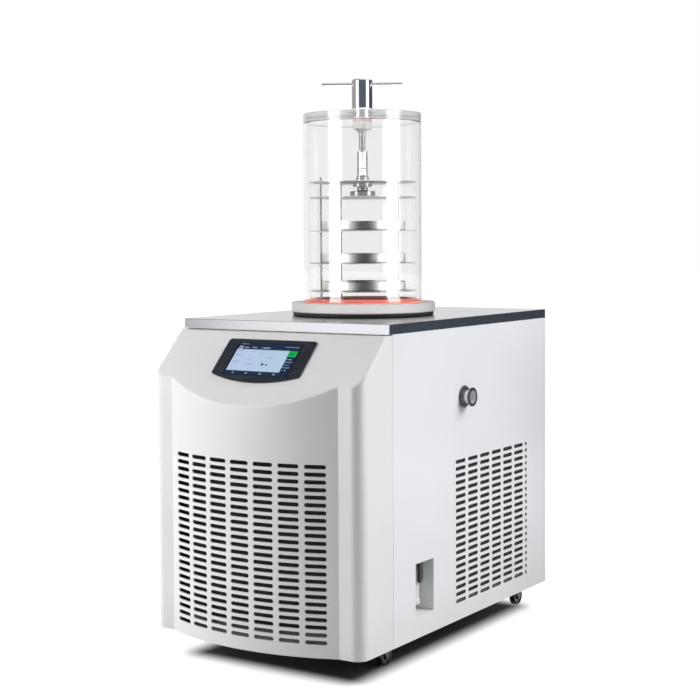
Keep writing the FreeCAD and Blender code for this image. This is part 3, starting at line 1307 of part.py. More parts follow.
def round_plate(label, low, thick, rod_clearance, centre_hole=None):
    """Thin round plate with a hole for each guide rod."""
    plate = body(label)
    pad(plate, circles(plate, "XY", [("0", "0", "plate_round")]), thick)
    holes = [(*rod_place(direction), "rod_round + " + rod_clearance) for direction in ROD_DIRECTIONS]
    if centre_hole:
        holes.append(("0", "0", centre_hole))
    pocket(plate, circles(plate, "XY", holes))
    place(plate, "0", "chamber_place", low)
    node(plate, label)


def make_rack():
    """Shelves and the fixed top plate on guide rods, with their nuts."""
    for name, low in SHELVES:
        round_plate("shelf_" + name, low, "shelf_thick", "0")
    round_plate("top_plate", "top_plate_low", "top_plate_thick", "0", "press_nut_neck")

    top = "(top_plate_low + top_plate_thick + rod_over)"
    rods, nuts = [], []
    seats = ["disc_top"] + ["(%s - nut_height)" % low for name, low in SHELVES]
    seats += ["(top_plate_low - nut_height)", "(top_plate_low + top_plate_thick)"]
    for direction in ROD_DIRECTIONS:
        x, y = rod_place(direction)
        y = "chamber_place + " + y
        rods.append(cylinder("rod", "rod_round", top + " - disc_top", (x, y, "disc_top")))
        for seat in seats:
            ring = turned("nut", [("rod_round", "0"), ("nut_round", "0"), ("nut_round", "nut_height"),
                                  ("rod_round", "nut_height")], x, y, seat)
            nuts.append(ring)
    node(compound("guide_rods", *rods), "guide_rods")
    node(compound("rod_nuts", *nuts), "rod_nuts")


def make_trays():
    """Round trays with a rounded bottom edge and a thicker rim, one on each shelf."""
    foot = "(tray_round - 4)"
    wall = "(tray_round - pan_wall)"
    profile = [("0", "0"), (foot, "0", "4", "left"), ("tray_round", "4"), ("tray_round", "tray_height"),
               ("tray_round - pan_rim", "tray_height"), ("tray_round - pan_rim", "tray_height - 2"),
               (wall, "tray_height - 2"), (wall, "4", "4 - pan_wall", "right"), (foot, "pan_wall"),
               ("0", "pan_wall")]
    for name, low in SHELVES:
        node(turned("tray_" + name, profile, "0", "chamber_place", low + " + shelf_thick"), "tray_" + name)


# ---------------------------------------------------------------- press and handle

NUT_LOW = "(top_plate_low - press_nut_drop)"
FOOT_TOP = "(%s - foot_neck)" % NUT_LOW
PRESS_LOW = "(%s - foot_thick - press_plate_thick)" % FOOT_TOP


def make_press():
    """Nut in the top plate, screw with a hexagon socket, swivelling foot, press plate."""
    bore = "(screw_round + gap_moving)"
    profile = [(bore, "-press_nut_drop"), ("press_nut_round", "-press_nut_drop"), ("press_nut_round", "0"),
               ("press_nut_neck", "0"), ("press_nut_neck", "top_plate_thick + 1"),
               ("screw_round + 1.6", "top_plate_thick + press_nut_rise"),
               (bore, "top_plate_thick + press_nut_rise")]
    node(turned("press_nut", profile, "0", "chamber_place", "top_plate_low"), "press_nut")

    screw = turned("screw_blank", screw_profile(), "0", "chamber_place", FOOT_TOP)
    socket = body("screw_socket")
    flats = "(hex_half + gap_moving)"
    pad(socket, outline(socket, "XY", hexagon(flats)), "screw_top - drive_low + gap_moving + 10")
    place(socket, "0", "chamber_place", "drive_low - gap_moving")
    node(cut("press_screw", screw, socket), "press_screw")

    profile = [("foot_pivot + gap_running", "-foot_thick + 4"), ("foot_pivot + gap_running", "-gap_moving"),
               ("foot_round - 1", "-gap_moving"), ("foot_round", "-gap_moving - 1"),
               ("foot_round", "-foot_thick"), ("0", "-foot_thick"), ("0", "-foot_thick + 4")]
    node(turned("press_foot", profile, "0", "chamber_place", FOOT_TOP), "press_foot")
    round_plate("press_plate", PRESS_LOW, "press_plate_thick", "rod_slide")


def screw_profile():
    """Half section of the press screw: pivot, neck and ring-cut thread up to its top."""
    neck = "(screw_round - thread_deep)"
    top = "(screw_top - %s)" % FOOT_TOP
    path = [("0", "-foot_thick + 4 + gap_moving"), ("foot_pivot", "-foot_thick + 4 + gap_moving"),
            ("foot_pivot", "0"), (neck, "0")]
    turns = int(number("(%s - 3) / thread_pitch" % top))
    for index in range(turns):
        start = "(%s - 3 - (%d - %d) * thread_pitch)" % (top, turns, index)
        path += [(neck, start), ("screw_round", start + " + thread_pitch * 0.4"),
                 ("screw_round", start + " + thread_pitch * 0.6")]
    return path + [(neck, top + " - 3"), ("screw_round", top + " - 3 + thread_deep"), ("screw_round", top),
                   ("0", top)]


def hexagon(half):
    """Corners of a level hexagon from half its width over the flats."""
    corners = []
    for index in range(6):
        reach = "(%s / cos(30))" % half
        corners.append(("%s * cos(%d)" % (reach, 60 * index), "%s * sin(%d)" % (reach, 60 * index)))
    return corners


def make_handle():
    """Drive rod with a hexagon end, the handle's hub and its cross bar."""
    hub_low = "(%s + gland_rise + hub_gap)" % LID_TOP
    hub_top = "(%s + hub_height)" % hub_low
    bar_height = "(%s - bar_drop)" % hub_top
    rod_top = "(%s - 8)" % bar_height
    shoulder = "(screw_top + gap_moving)"
    foot = ("0", "chamber_place", shoulder)
    rod = cylinder("rod_round", "drive_round", "%s - %s" % (rod_top, shoulder), foot)
    hexagonal = body("rod_hexagon")
    pad(hexagonal, outline(hexagonal, "XY", hexagon("hex_half")), "%s - drive_low + 1" % shoulder)
    place(hexagonal, "0", "chamber_place", "drive_low")
    node(fuse("drive_rod", rod, hexagonal), "drive_rod")

    blank = turned("hub_blank", [("drive_round", "0"), ("hub_round - 1.5", "0"), ("hub_round", "1.5"),
                                 ("hub_round", "hub_height - 2"), ("hub_round - 2", "hub_height"),
                                 ("0", "hub_height"), ("0", "hub_height - bar_drop - 8"),
                                 ("drive_round", "hub_height - bar_drop - 8")],
                   "0", "chamber_place", hub_low)
    hole = doc.addObject("Part::Cylinder", "hub_hole")
    bar = doc.addObject("Part::Cylinder", "bar")
    angle = math.radians(number("bar_turn"))
    direction = Vector(math.cos(angle), math.sin(angle), 0)
    for item, reach in ((hole, "3 * hub_round"), (bar, "bar_length")):
        along = "(%s) / 2" % reach
        bind(item, Radius="bar_round", Height=reach)
        item.Placement = Placement(Vector(), Rotation(Z_AXIS, direction))
        item.setExpression("Placement.Base.x", full("-%s * cos(bar_turn)" % along))
        item.setExpression("Placement.Base.y", full("chamber_place - %s * sin(bar_turn)" % along))
        item.setExpression("Placement.Base.z", full(bar_height))
    node(cut("handle_hub", blank, hole), "handle_hub")
    node(bar, "handle_bar")


# ---------------------------------------------------------------- the whole machine

make_base_tray()
make_support_frame()
make_side_panel("side_panel_left", -1)
make_side_panel("side_panel_right", 1)
make_rear_panel()
make_worktop()
make_front_cover()
make_screen()
make_recess_pocket()
make_drain_valve()
make_drain_lever()
make_drain_pipe()
make_vacuum_port()
make_castors()
make_cold_trap()
make_evaporator_coil()
make_trap_insulation()
make_compressor()
make_condenser()
make_fan()
make_filter_drier()
make_refrigerant_pipes()
make_rear_connections()
make_chamber()
make_gland()
make_rack()
make_trays()
make_press()
make_handle()

doc.recompute()
failed = [item.Name for item in doc.Objects if "Invalid" in item.State or "Error" in item.State]
for item in NODES:
    shape = item.Shape
    if shape.isNull() or not shape.isValid() or not shape.Solids:
        failed.append(item.Label)
if failed:
    raise RuntimeError("failed: " + ", ".join(failed))

os.makedirs("parts", exist_ok=True)
for item in NODES:
    item.Shape.exportStep("parts/%s.step" % item.Label)
    print("%-26s %3d solids %12.1f mm3" % (item.Label, len(item.Shape.Solids), item.Shape.Volume))
print(len(NODES), "nodes")
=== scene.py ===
"""Finishes and small fittings of the floor-standing laboratory freeze dryer. Metres, Z up."""
import math

import bmesh
import bpy
from mathutils import Matrix, Vector


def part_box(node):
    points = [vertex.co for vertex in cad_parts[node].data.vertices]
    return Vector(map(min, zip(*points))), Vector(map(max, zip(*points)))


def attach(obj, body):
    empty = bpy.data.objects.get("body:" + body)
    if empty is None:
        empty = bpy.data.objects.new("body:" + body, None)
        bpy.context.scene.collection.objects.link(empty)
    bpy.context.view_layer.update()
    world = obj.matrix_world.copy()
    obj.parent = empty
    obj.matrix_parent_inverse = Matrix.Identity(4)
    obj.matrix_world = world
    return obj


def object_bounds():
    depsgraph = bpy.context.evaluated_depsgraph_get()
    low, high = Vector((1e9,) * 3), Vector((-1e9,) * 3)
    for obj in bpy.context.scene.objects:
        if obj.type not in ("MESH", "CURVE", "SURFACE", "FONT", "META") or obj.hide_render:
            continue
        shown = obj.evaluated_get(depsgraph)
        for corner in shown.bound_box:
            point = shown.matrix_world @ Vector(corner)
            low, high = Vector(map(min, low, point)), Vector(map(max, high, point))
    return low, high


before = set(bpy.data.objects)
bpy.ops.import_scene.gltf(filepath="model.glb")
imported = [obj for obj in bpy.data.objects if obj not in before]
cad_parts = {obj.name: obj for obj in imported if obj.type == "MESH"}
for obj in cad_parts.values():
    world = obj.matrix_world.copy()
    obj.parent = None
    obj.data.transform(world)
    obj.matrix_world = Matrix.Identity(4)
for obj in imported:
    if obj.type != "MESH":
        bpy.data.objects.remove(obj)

cad_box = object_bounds()

MM = 0.001
X, Y, Z = Vector((1, 0, 0)), Vector((0, 1, 0)), Vector((0, 0, 1))


def axis_of(name, flat):
    """A point on a turned part's axis; flat is 0 along that axis."""
    low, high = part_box(name)
    return tuple(side * (a + b) / 2 for side, a, b in zip(flat, low, high))


CHAMBER = axis_of("chamber_tube", (1, 1, 0))
PORT = axis_of("vacuum_port", (0, 1, 1))


# ---------------------------------------------------------------- shader arithmetic

class Value:
    """A value in a finish's shader; arithmetic on it adds Math nodes."""

    def __init__(self, finish, socket):
        self.finish = finish
        self.socket = socket

    def maths(self, operation, first, second):
        return self.finish.add("Math", {0: first, 1: second}, operation=operation)

    def __add__(self, other):
        return self.maths("ADD", self, other)

    __radd__ = __add__

    def __sub__(self, other):
        return self.maths("SUBTRACT", self, other)

    def __rsub__(self, other):
        return self.maths("SUBTRACT", other, self)

    def __mul__(self, other):
        return self.maths("MULTIPLY", self, other)

    __rmul__ = __mul__

    def __pow__(self, other):
        return self.maths("POWER", self, other)


class Finish:
    """A procedural material built round one Principled shader."""

    def __init__(self, name, colour, roughness, **sockets):
        self.material = bpy.data.materials.new(name)
        self.material.use_nodes = True
        self.tree = self.material.node_tree
        self.shader = self.tree.nodes["Principled BSDF"]
        self.set(Base_Color=colour, Roughness=roughness, **sockets)

    def feed(self, socket, value):
        """Give a socket a link, a number or a colour."""
        if isinstance(value, Value):
            self.tree.links.new(value.socket, socket)
        elif isinstance(value, tuple) and len(value) == 3 and socket.type == "RGBA":
            socket.default_value = (*value, 1)
        else:
            socket.default_value = value

    def set(self, **sockets):
        """Feed the shader's sockets; an underscore in a name stands for a space."""
        for name, value in sockets.items():
            self.feed(self.shader.inputs[name.replace("_", " ")], value)

    def add(self, kind, inputs, output=0, stops=(), **settings):
        """Add a node: its settings first, then its sockets."""
        made = self.tree.nodes.new("ShaderNode" + kind)
        for name, value in settings.items():
            setattr(made, name, value)
        if stops:
            ramp = made.color_ramp.elements
            while len(ramp) < len(stops):
                ramp.new(1)
            for step, (place, colour) in zip(ramp, stops):
                step.position = place
                step.color = (*colour, 1)
        for name, value in inputs.items():
            self.feed(made.inputs[name], value)
        return Value(self, made.outputs[output])

    def coordinates(self, centre=(0, 0, 0), turn=(0, 0, 0), scale=(1, 1, 1)):
        """Object coordinates about a centre, turned and scaled."""
        place = self.add("TexCoord", {}, output="Object")
        moved = self.add("Mapping", {"Vector": place, "Location": tuple(-c for c in centre)})
        return self.add("Mapping", {"Vector": moved, "Rotation": turn, "Scale": scale})

    def axis(self, name, centre=(0, 0, 0)):
        """One coordinate, measured from a centre."""
        return self.add("SeparateXYZ", {0: self.coordinates(centre)}, output=name)

    def radius(self, centre=(0, 0, 0), flat=(1, 1, 0)):
        """Distance from an axis through a centre; flat is 0 along that axis."""
        return self.add("VectorMath", {0: self.coordinates(centre, scale=flat)}, output="Value",
                        operation="LENGTH")

    def noise(self, scale, detail=3.0, stretch=(1, 1, 1), centre=(0, 0, 0)):
        """Soft noise, stretched along the axes with a small stretch factor."""
        return self.add("TexNoise", {"Vector": self.coordinates(centre, scale=stretch), "Scale": scale,
                                     "Detail": detail})

    def rings(self, scale, centre, flat=(1, 1, 0), detail=4.0):
        """Turning marks: noise that changes only with the distance from an axis."""
        distance = self.radius(centre, flat)
        line = self.add("CombineXYZ", {"X": distance})
        return self.add("TexNoise", {"Vector": line, "Scale": scale, "Detail": detail})

    def cells(self, scale, feature="F1", output="Distance"):
        """Cell pattern for spangle, foam and grit."""
        return self.add("TexVoronoi", {"Vector": self.coordinates(), "Scale": scale}, output=output,
                        feature=feature)

    def between(self, factor, low, high):
        """Spread a mask between two numbers."""
        return self.add("MapRange", {"Value": factor, "To Min": low, "To Max": high})

    def step(self, value, low, high):
        """Smooth change from 0 to 1 between two numbers."""
        return self.add("MapRange", {"Value": value, "From Min": low, "From Max": high},
                        interpolation_type="SMOOTHSTEP")

    def mix(self, factor, first, second):
        """Mix of two colours."""
        return self.add("Mix", {0: factor, 6: first, 7: second}, output=2, data_type="RGBA")

    def bump(self, height, distance, strength=1.0):
        """Feed the surface relief."""
        relief = self.add("Bump", {"Height": height, "Distance": distance, "Strength": strength})
        self.set(Normal=relief)


# ---------------------------------------------------------------- finishes

DUST_LOW, DUST_HIGH = 0.04, 0.16  # dust on the paint fades out between these heights
DRIFT = 1.2                       # of the screen's colour, down its slope against across it
DARK_REFLECTION_TURN = math.radians(56)       # where the trays' painted dark reflections face
SPOUT = 12 * MM                   # length of the drain valve's rubber spout
FLANGE = 5 * MM                   # length of the vacuum port's flange
BORE = 13.1 * MM                  # radius of its bore, painted pale as a highlight
LID_RIM = 0.6 * MM                # depth of the lid's ground rim, tinted grey as painted shade
THREAD = 0.9 * MM                 # depth of the press screw's grooves, painted dark as shade
SILL = 1.4 * MM                   # height of the recess pocket's sill, painted pale as light


def painted(name, colour, grain, depth, rough, soil=0.06):
    """Baked paint on sheet or moulding: fine orange peel, faint handling marks, dust near the floor."""
    coat = Finish(name, colour, rough, Coat_Weight=0.4, Coat_Roughness=0.2)
    cloud = coat.noise(3.2, 4)
    dust = 1 - coat.step(coat.axis("Z"), DUST_LOW, DUST_HIGH)
    shade = tuple(c * (1 - soil) for c in colour)
    dusty = (colour[0] * 0.80, colour[1] * 0.78, colour[2] * 0.74)
    tone = coat.mix(coat.step(cloud, 0.35, 0.75), colour, shade)
    coat.set(Base_Color=coat.mix(dust * cloud * 0.7, tone, dusty),
             Roughness=coat.between(coat.noise(9, 5), rough - 0.07, rough + 0.09))
    coat.bump(coat.noise(grain, 2), depth)
    return coat.material


def brushed(name, colour, rough, stretch, scale=420, depth=0.00001):
    """Sheet metal with a straight grain; stretch is small along the grain."""
    metal = Finish(name, colour, rough, Metallic=1.0)
    grain = metal.noise(scale, 6, stretch)
    cloud = metal.noise(5, 4)
    dark = tuple(c * 0.86 for c in colour)
    metal.set(Base_Color=metal.mix(grain, dark, colour),
              Roughness=metal.between(grain * 0.6 + cloud * 0.4, rough - 0.08, rough + 0.12))
    metal.bump(grain, depth)
    return metal.material


def machined(name, colour, rough, centre, flat=(1, 1, 0), scale=900, depth=0.000006, metallic=1.0):
    """Turned metal with concentric marks round an axis."""
    metal = Finish(name, colour, rough, Metallic=metallic)
    marks = metal.rings(scale, centre, flat)
    smear = metal.noise(14, 4)
    dark = tuple(c * 0.88 for c in colour)
    metal.set(Base_Color=metal.mix(marks, dark, colour),
              Roughness=metal.between(marks * 0.5 + smear * 0.5, rough - 0.06, rough + 0.10))
    metal.bump(marks, depth)
    return metal.material


def valve_nylon():
    """White moulded valve with a black rubber spout."""
    nylon = Finish("valve_nylon", (0.82, 0.82, 0.81), 0.36)
    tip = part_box("drain_valve")[0].z + SPOUT
    spout = nylon.step(nylon.axis("Z"), tip, tip - 0.5 * MM)
    cloud = nylon.noise(30, 4)
    tone = nylon.mix(cloud, (0.78, 0.78, 0.77), (0.84, 0.84, 0.83))
    nylon.set(Base_Color=nylon.mix(spout, tone, (0.03, 0.03, 0.032)),
              Roughness=nylon.between(cloud * 0.6 + spout * 0.4, 0.30, 0.55))
    nylon.bump(nylon.noise(900, 3), 0.00003)
    return nylon.material


def tray_steel():
    """Drawn steel side wall with painted reflections: broad light and dark fans, the same from all four
    sides.
    """
    metal = Finish("tray_steel", (0.5, 0.5, 0.5), 0.5, Metallic=1.0)
    across, along = metal.axis("X", CHAMBER), metal.axis("Y", CHAMBER)
    angle = along.maths("ARCTAN2", along, across) * 4 + 4 * DARK_REFLECTION_TURN
    painted_reflection = metal.step(angle.maths("COSINE", angle, 0), -0.2, 1.1)
    smear = metal.noise(12, 2, (1, 1, 6))
    # painted reflection: light and dark fans round the chamber's axis stand in for mirrored lamps and
    # dark cards
    metal.set(Base_Color=metal.mix(painted_reflection, (0.90, 0.89, 0.87), (0.055, 0.053, 0.049)),
              Roughness=metal.between(smear, 0.46, 0.56))
    metal.bump(metal.noise(700, 2, (1, 1, 0.05)), 0.000002)
    return metal.material


def port_steel():
    """Bright turned neck, with the flange painted dark as shade and the bore painted pale as a
    highlight.
    """
    metal = Finish("port_steel", (0.30, 0.31, 0.33), 0.3, Metallic=1.0)
    marks = metal.rings(1200, PORT, (0, 1, 1))
    # painted highlight: inside the bore's radius the steel is pale and mostly not metallic
    bore = metal.step(metal.radius(PORT, (0, 1, 1)), BORE + 0.5 * MM, BORE)
    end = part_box("vacuum_port")[1].x
    # painted shade: the flange is the neck's steel painted dark
    flange = metal.step(metal.axis("X"), end - FLANGE - 1 * MM, end - FLANGE)
    neck = metal.mix(marks, (0.72, 0.73, 0.75), (0.82, 0.83, 0.85))
    turned = metal.mix(flange, neck, (0.13, 0.14, 0.16))
    metal.set(Base_Color=metal.mix(bore, turned, (0.80, 0.81, 0.83)), Metallic=1 - bore * 0.8,
              Roughness=metal.between(marks * 0.5 + bore * 0.5, 0.24, 0.5))
    metal.bump(marks, 0.000006)
    return metal.material


def threaded(name, colour, rough):
    """Cut thread: bright crests over grooves painted dark as shade."""
    metal = Finish(name, colour, rough, Metallic=1.0)
    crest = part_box("press_screw")[1].x
    # painted shade: darker where the radius falls below the thread's crest
    low = metal.step(metal.radius(CHAMBER), crest - THREAD / 3, crest - THREAD)
    smear = metal.noise(60, 4)
    metal.set(Base_Color=metal.mix(low, colour, (0.05, 0.05, 0.052)),
              Roughness=metal.between(low * 0.6 + smear * 0.4, rough - 0.04, rough + 0.25))
    metal.bump(smear, 0.00002)
    return metal.material


def moulded(name, colour, rough, grain=900, depth=0.00003, wear=0.12):
    """Moulded plastic or rubber with a fine texture and paler rubbed patches."""
    plastic = Finish(name, colour, rough)
    rubbed = plastic.step(plastic.noise(22, 6), 0.52, 0.78)
    pale = tuple(min(1, c * 1.5 + 0.02) for c in colour)
    plastic.set(Base_Color=plastic.mix(rubbed * wear, colour, pale),
                Roughness=plastic.between(rubbed, rough - 0.05, rough + 0.12))
    plastic.bump(plastic.noise(grain, 3), depth)
    return plastic.material


def clear(name, colour, ior, rough):
    """Clear plastic; only its roughness varies, with faint wiping marks."""
    sheet = Finish(name, colour, rough, Transmission_Weight=1.0, IOR=ior)
    sheet.set(Roughness=sheet.between(sheet.noise(18, 5), rough, rough + 0.012))
    return sheet.material


def clear_lid(name, colour, shaded_edge_colour):
    """Clear lid with a ground rim, tinted grey as painted shade."""
    lid = Finish(name, colour, 0.0, Transmission_Weight=1.0, IOR=1.49, Specular_IOR_Level=0.2)
    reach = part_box("chamber_lid")[1].x - LID_RIM
    rim = lid.step(lid.radius(CHAMBER), reach - LID_RIM, reach)
    # painted shade: the rim's grey tint
    lid.set(Base_Color=lid.mix(rim, colour, shaded_edge_colour),
            Roughness=rim * 0.16 + lid.between(lid.noise(18, 5), 0.0, 0.012))
    return lid.material


def spangled(name, colour, rough):
    """Zinc-plated sheet with a crystal spangle."""
    metal = Finish(name, colour, rough, Metallic=1.0)
    crystal = metal.cells(70, output="Color")
    value = metal.add("SeparateColor", {0: crystal}, output="Red")
    dark = tuple(c * 0.78 for c in colour)
    metal.set(Base_Color=metal.mix(value, dark, colour),
              Roughness=metal.between(value, rough - 0.05, rough + 0.12))
    metal.bump(metal.noise(600, 3), 0.00001)
    return metal.material


def foamed(name, colour):
    """Cellular insulation with open pores and shaded hollows."""
    foam = Finish(name, colour, 0.9)
    pores = foam.cells(420)
    cloud = foam.noise(26, 4)
    deep = tuple(c * 0.45 for c in colour)
    foam.set(Base_Color=foam.mix(foam.step(pores, 0.1, 0.5), deep, colour),
             Roughness=foam.between(cloud, 0.82, 0.98))
    foam.bump(pores + cloud * 0.6, 0.0006)
    return foam.material


def silicone(name, colour):
    """Translucent silicone rubber with a slight bloom."""
    rubber = Finish(name, colour, 0.38, Subsurface_Weight=0.35, Subsurface_Scale=0.004)
    bloom = rubber.noise(30, 4)
    pale = tuple(min(1, c * 1.05 + 0.05) for c in colour)
    rubber.set(Base_Color=rubber.mix(bloom * 0.6, colour, pale),
               Roughness=rubber.between(bloom, 0.30, 0.46))
    rubber.bump(rubber.noise(500, 2), 0.00002)
    return rubber.material


def tarnished(name):
    """Copper pipe, bright with browner patches."""
    metal = Finish(name, (0.72, 0.36, 0.22), 0.3, Metallic=1.0)
    patch = metal.step(metal.noise(24, 5), 0.4, 0.7)
    metal.set(Base_Color=metal.mix(patch, (0.78, 0.42, 0.27), (0.42, 0.20, 0.12)),
              Roughness=metal.between(patch, 0.22, 0.42))
    metal.bump(metal.noise(400, 2), 0.00001)
    return metal.material


def screen_part(name, colour, glow, low_colour=None):
    """Lit liquid-crystal area: fine rows, and a drift of colour across it if it has a low colour."""
    lit = Finish(name, colour, 0.18, Coat_Weight=0.5, Coat_Roughness=0.04)
    rows = lit.add("TexWave", {"Vector": lit.coordinates(), "Scale": 320}, bands_direction="X")
    dim = tuple(c * 0.88 for c in colour)
    shown = lit.mix(rows * 0.5 + lit.noise(40, 3) * 0.5, dim, colour)
    if low_colour:
        low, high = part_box("display")
        across = lit.step(lit.axis("X") + lit.axis("Z") * DRIFT, low.x + low.z * DRIFT,
                          high.x + high.z * DRIFT)
        shown = lit.mix(across, low_colour, shown)
    lit.set(Base_Color=shown, Emission_Color=shown, Emission_Strength=glow,
            Roughness=lit.between(rows, 0.16, 0.24))
    return lit.material


def glossy_black(name, colour, rough):
    """Black printed or moulded gloss with light dust and wiping marks."""
    gloss = Finish(name, colour, rough, Coat_Weight=0.6, Coat_Roughness=0.08)
    wiped = gloss.noise(16, 6, (1, 3, 3))
    pale = tuple(c + 0.012 for c in colour)
    gloss.set(Base_Color=gloss.mix(gloss.step(wiped, 0.45, 0.75), colour, pale),
              Roughness=gloss.between(wiped, rough - 0.06, rough + 0.12))
    gloss.bump(gloss.noise(1100, 2), 0.00001)
    return gloss.material


def pocket_paint():
    """Grey painted pocket with painted shade and light: darker towards its top, paler towards its floor,
    which is painted nearly white.
    """
    coat = Finish("pocket_paint", (0.6, 0.6, 0.6), 0.45)
    low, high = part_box("recess_pocket")
    # painted shade: the walls darken from the floor up to the pocket's roof
    painted_shade_rise = coat.step(coat.axis("Z"), low.z, high.z)
    wall = coat.mix(painted_shade_rise, (0.82, 0.84, 0.82), (0.74, 0.80, 0.80))
    # painted light: the sill and floor nearly white
    painted_light_sill = coat.step(coat.axis("Z"), low.z + SILL + 0.8 * MM, low.z + SILL)
    coat.set(Base_Color=coat.mix(painted_light_sill, wall, (0.84, 0.84, 0.83)),
             Roughness=coat.between(coat.noise(12, 5), 0.38, 0.55))
    coat.bump(coat.noise(700, 2), 0.00004)
    return coat.material


BY_SLOT = {
    "white_paint": painted("white_paint", (0.83, 0.845, 0.875), 900, 0.00003, 0.42),
    "cover_white": painted("cover_white", (0.80, 0.805, 0.81), 1300, 0.00003, 0.46),
    "plated_steel": spangled("plated_steel", (0.60, 0.61, 0.60), 0.38),
    "tray_steel": tray_steel(),
    "polished_steel": machined("polished_steel", (0.72, 0.72, 0.73), 0.12, CHAMBER),
    "bezel_black": glossy_black("bezel_black", (0.018, 0.021, 0.030), 0.34),
    "display_glass": glossy_black("display_glass", (0.012, 0.016, 0.030), 0.12),
    "lever_black": moulded("lever_black", (0.008, 0.008, 0.010), 0.5, wear=0.05),
    "hose_clear": clear("hose_clear", (0.93, 0.95, 0.95), 1.43, 0.16),
    "slate_plastic": moulded("slate_plastic", (0.055, 0.062, 0.075), 0.40),
    "castor_black": moulded("castor_black", (0.014, 0.014, 0.015), 0.30, wear=0.15),
    "copper": tarnished("copper"),
    "foam": foamed("foam", (0.34, 0.33, 0.30)),
    # painted shade: the aluminium is darkened to near black, standing for the shade behind the grilles
    "aluminium": brushed("aluminium", (0.10, 0.10, 0.105), 0.45, (1, 1, 0.05), 700),
    "compressor_black": painted("compressor_black", (0.022, 0.022, 0.023), 500, 0.00005, 0.38),
    "black_rubber": moulded("black_rubber", (0.020, 0.020, 0.021), 0.55, 600, 0.00005),
    "red_silicone": silicone("red_silicone", (0.96, 0.20, 0.15)),
    "clear_acrylic": clear("clear_acrylic", (0.935, 0.935, 0.93), 1.49, 0.0),
    "nylon_grey": moulded("nylon_grey", (0.42, 0.42, 0.41), 0.5),
}

BY_NODE = {
    "worktop": brushed("worktop_steel", (0.46, 0.465, 0.485), 0.20, (0.03, 1, 1)),
    # painted shade: the base tray's zinc darkened to 0.12, for the dark lowest grille slots
    "base_tray": spangled("tray_zinc_painted_shade", (0.12, 0.12, 0.12), 0.46),
    # painted shade: the guide rods are steel darkened far below the polished steel
    "guide_rods": machined("rod_steel_painted_shade", (0.20, 0.20, 0.21), 0.16, CHAMBER),
    "press_screw": threaded("screw_steel", (0.62, 0.62, 0.63), 0.16),
    "drain_valve": valve_nylon(),
    # painted shade: the drive rod, press foot and press nut are steel darkened the same way
    "drive_rod": machined("drive_steel_painted_shade", (0.24, 0.24, 0.25), 0.18, CHAMBER),
    "press_foot": machined("foot_steel_painted_shade", (0.26, 0.26, 0.27), 0.22, CHAMBER),
    "press_nut": machined("nut_steel_painted_shade", (0.32, 0.32, 0.33), 0.20, CHAMBER),
    "recess_pocket": pocket_paint(),
    "base_disc": machined("disc_steel", (0.60, 0.585, 0.58), 0.5, CHAMBER, scale=600, metallic=0.0),
    # painted shade: the lid's rim colour is grey
    "chamber_lid": clear_lid("lid_acrylic", (0.95, 0.95, 0.945), (0.60, 0.60, 0.60)),
    "gland_seal": silicone("seal_silicone", (0.62, 0.50, 0.47)),
    "cold_trap": machined("trap_steel", (0.60, 0.61, 0.62), 0.26, CHAMBER, scale=300),
    "vacuum_port": port_steel(),
    "front_cover": BY_SLOT["cover_white"],
}

for name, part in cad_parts.items():
    for holder in part.material_slots:
        slot = holder.material.name.split(".")[0]
        holder.material = BY_NODE.get(name) or BY_SLOT[slot]


# ---------------------------------------------------------------- making pieces

CREASE = math.radians(35)  # steeper edges than this stay sharp


def piece(name, body, shape, finish):
    """A finished piece from a bmesh, riding on its body."""
    mesh = bpy.data.meshes.new(name)
    for face in shape.faces:
        face.smooth = True
    shape.to_mesh(mesh)
    shape.free()
    mesh.set_sharp_from_angle(angle=CREASE)
    mesh.materials.append(finish)
    thing = bpy.data.objects.new(name, mesh)
    bpy.context.scene.collection.objects.link(thing)
    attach(thing, body)


# ---------------------------------------------------------------- screen

LIFT = 0.05 * MM         # each layer of the picture over the one below
MARK_CORNER = 0.3 * MM   # rounding of the small marks
PICTURE = (0.024, 0.966, 0.020, 0.985)  # left, right, top and low edge, as parts of the glass


def glass_plane():
    """Frame of the display's glass, with x to the right and y down the slope, and its two sizes."""
    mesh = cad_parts["display"].data
    face = max((p for p in mesh.polygons if p.normal.z > 0.3), key=lambda p: p.area)
    up = face.normal.copy()
    down = X.cross(up).normalized() * -1
    if down.z > 0:
        down = -down
    level = mesh.vertices[face.vertices[0]].co.dot(up)
    rim = [v.co for v in mesh.vertices if abs(v.co.dot(up) - level) < 1e-5]
    left, right = min(p.x for p in rim), max(p.x for p in rim)
    first, last = min(p.dot(down) for p in rim), max(p.dot(down) for p in rim)
    corner = X * left + down * first + up * level
    turn = Matrix((X, down, up)).transposed().to_4x4()
    return Matrix.Translation(corner) @ turn, right - left, last - first


def slab(shape, plane, low, high, corner):
    """One layer of the screen's picture between two corners, with its upright corners rounded."""
    size = Vector((high[0] - low[0], high[1] - low[1], LIFT))
    middle = Vector(((high[0] + low[0]) / 2, (high[1] + low[1]) / 2, LIFT / 2))
    matrix = plane @ Matrix.Translation(middle) @ Matrix.Diagonal((*size, 1))
    made = bmesh.ops.create_cube(shape, size=1, matrix=matrix)["verts"]
    if corner:
        up = plane.to_3x3() @ Z
        edges = {e for v in made for e in v.link_edges
                 if abs((e.verts[0].co - e.verts[1].co).normalized().dot(up)) > 0.9}
        bmesh.ops.bevel(shape, geom=list(edges), offset=corner, offset_type="OFFSET", affect="EDGES",
                        segments=4, profile=0.5, material=-1)


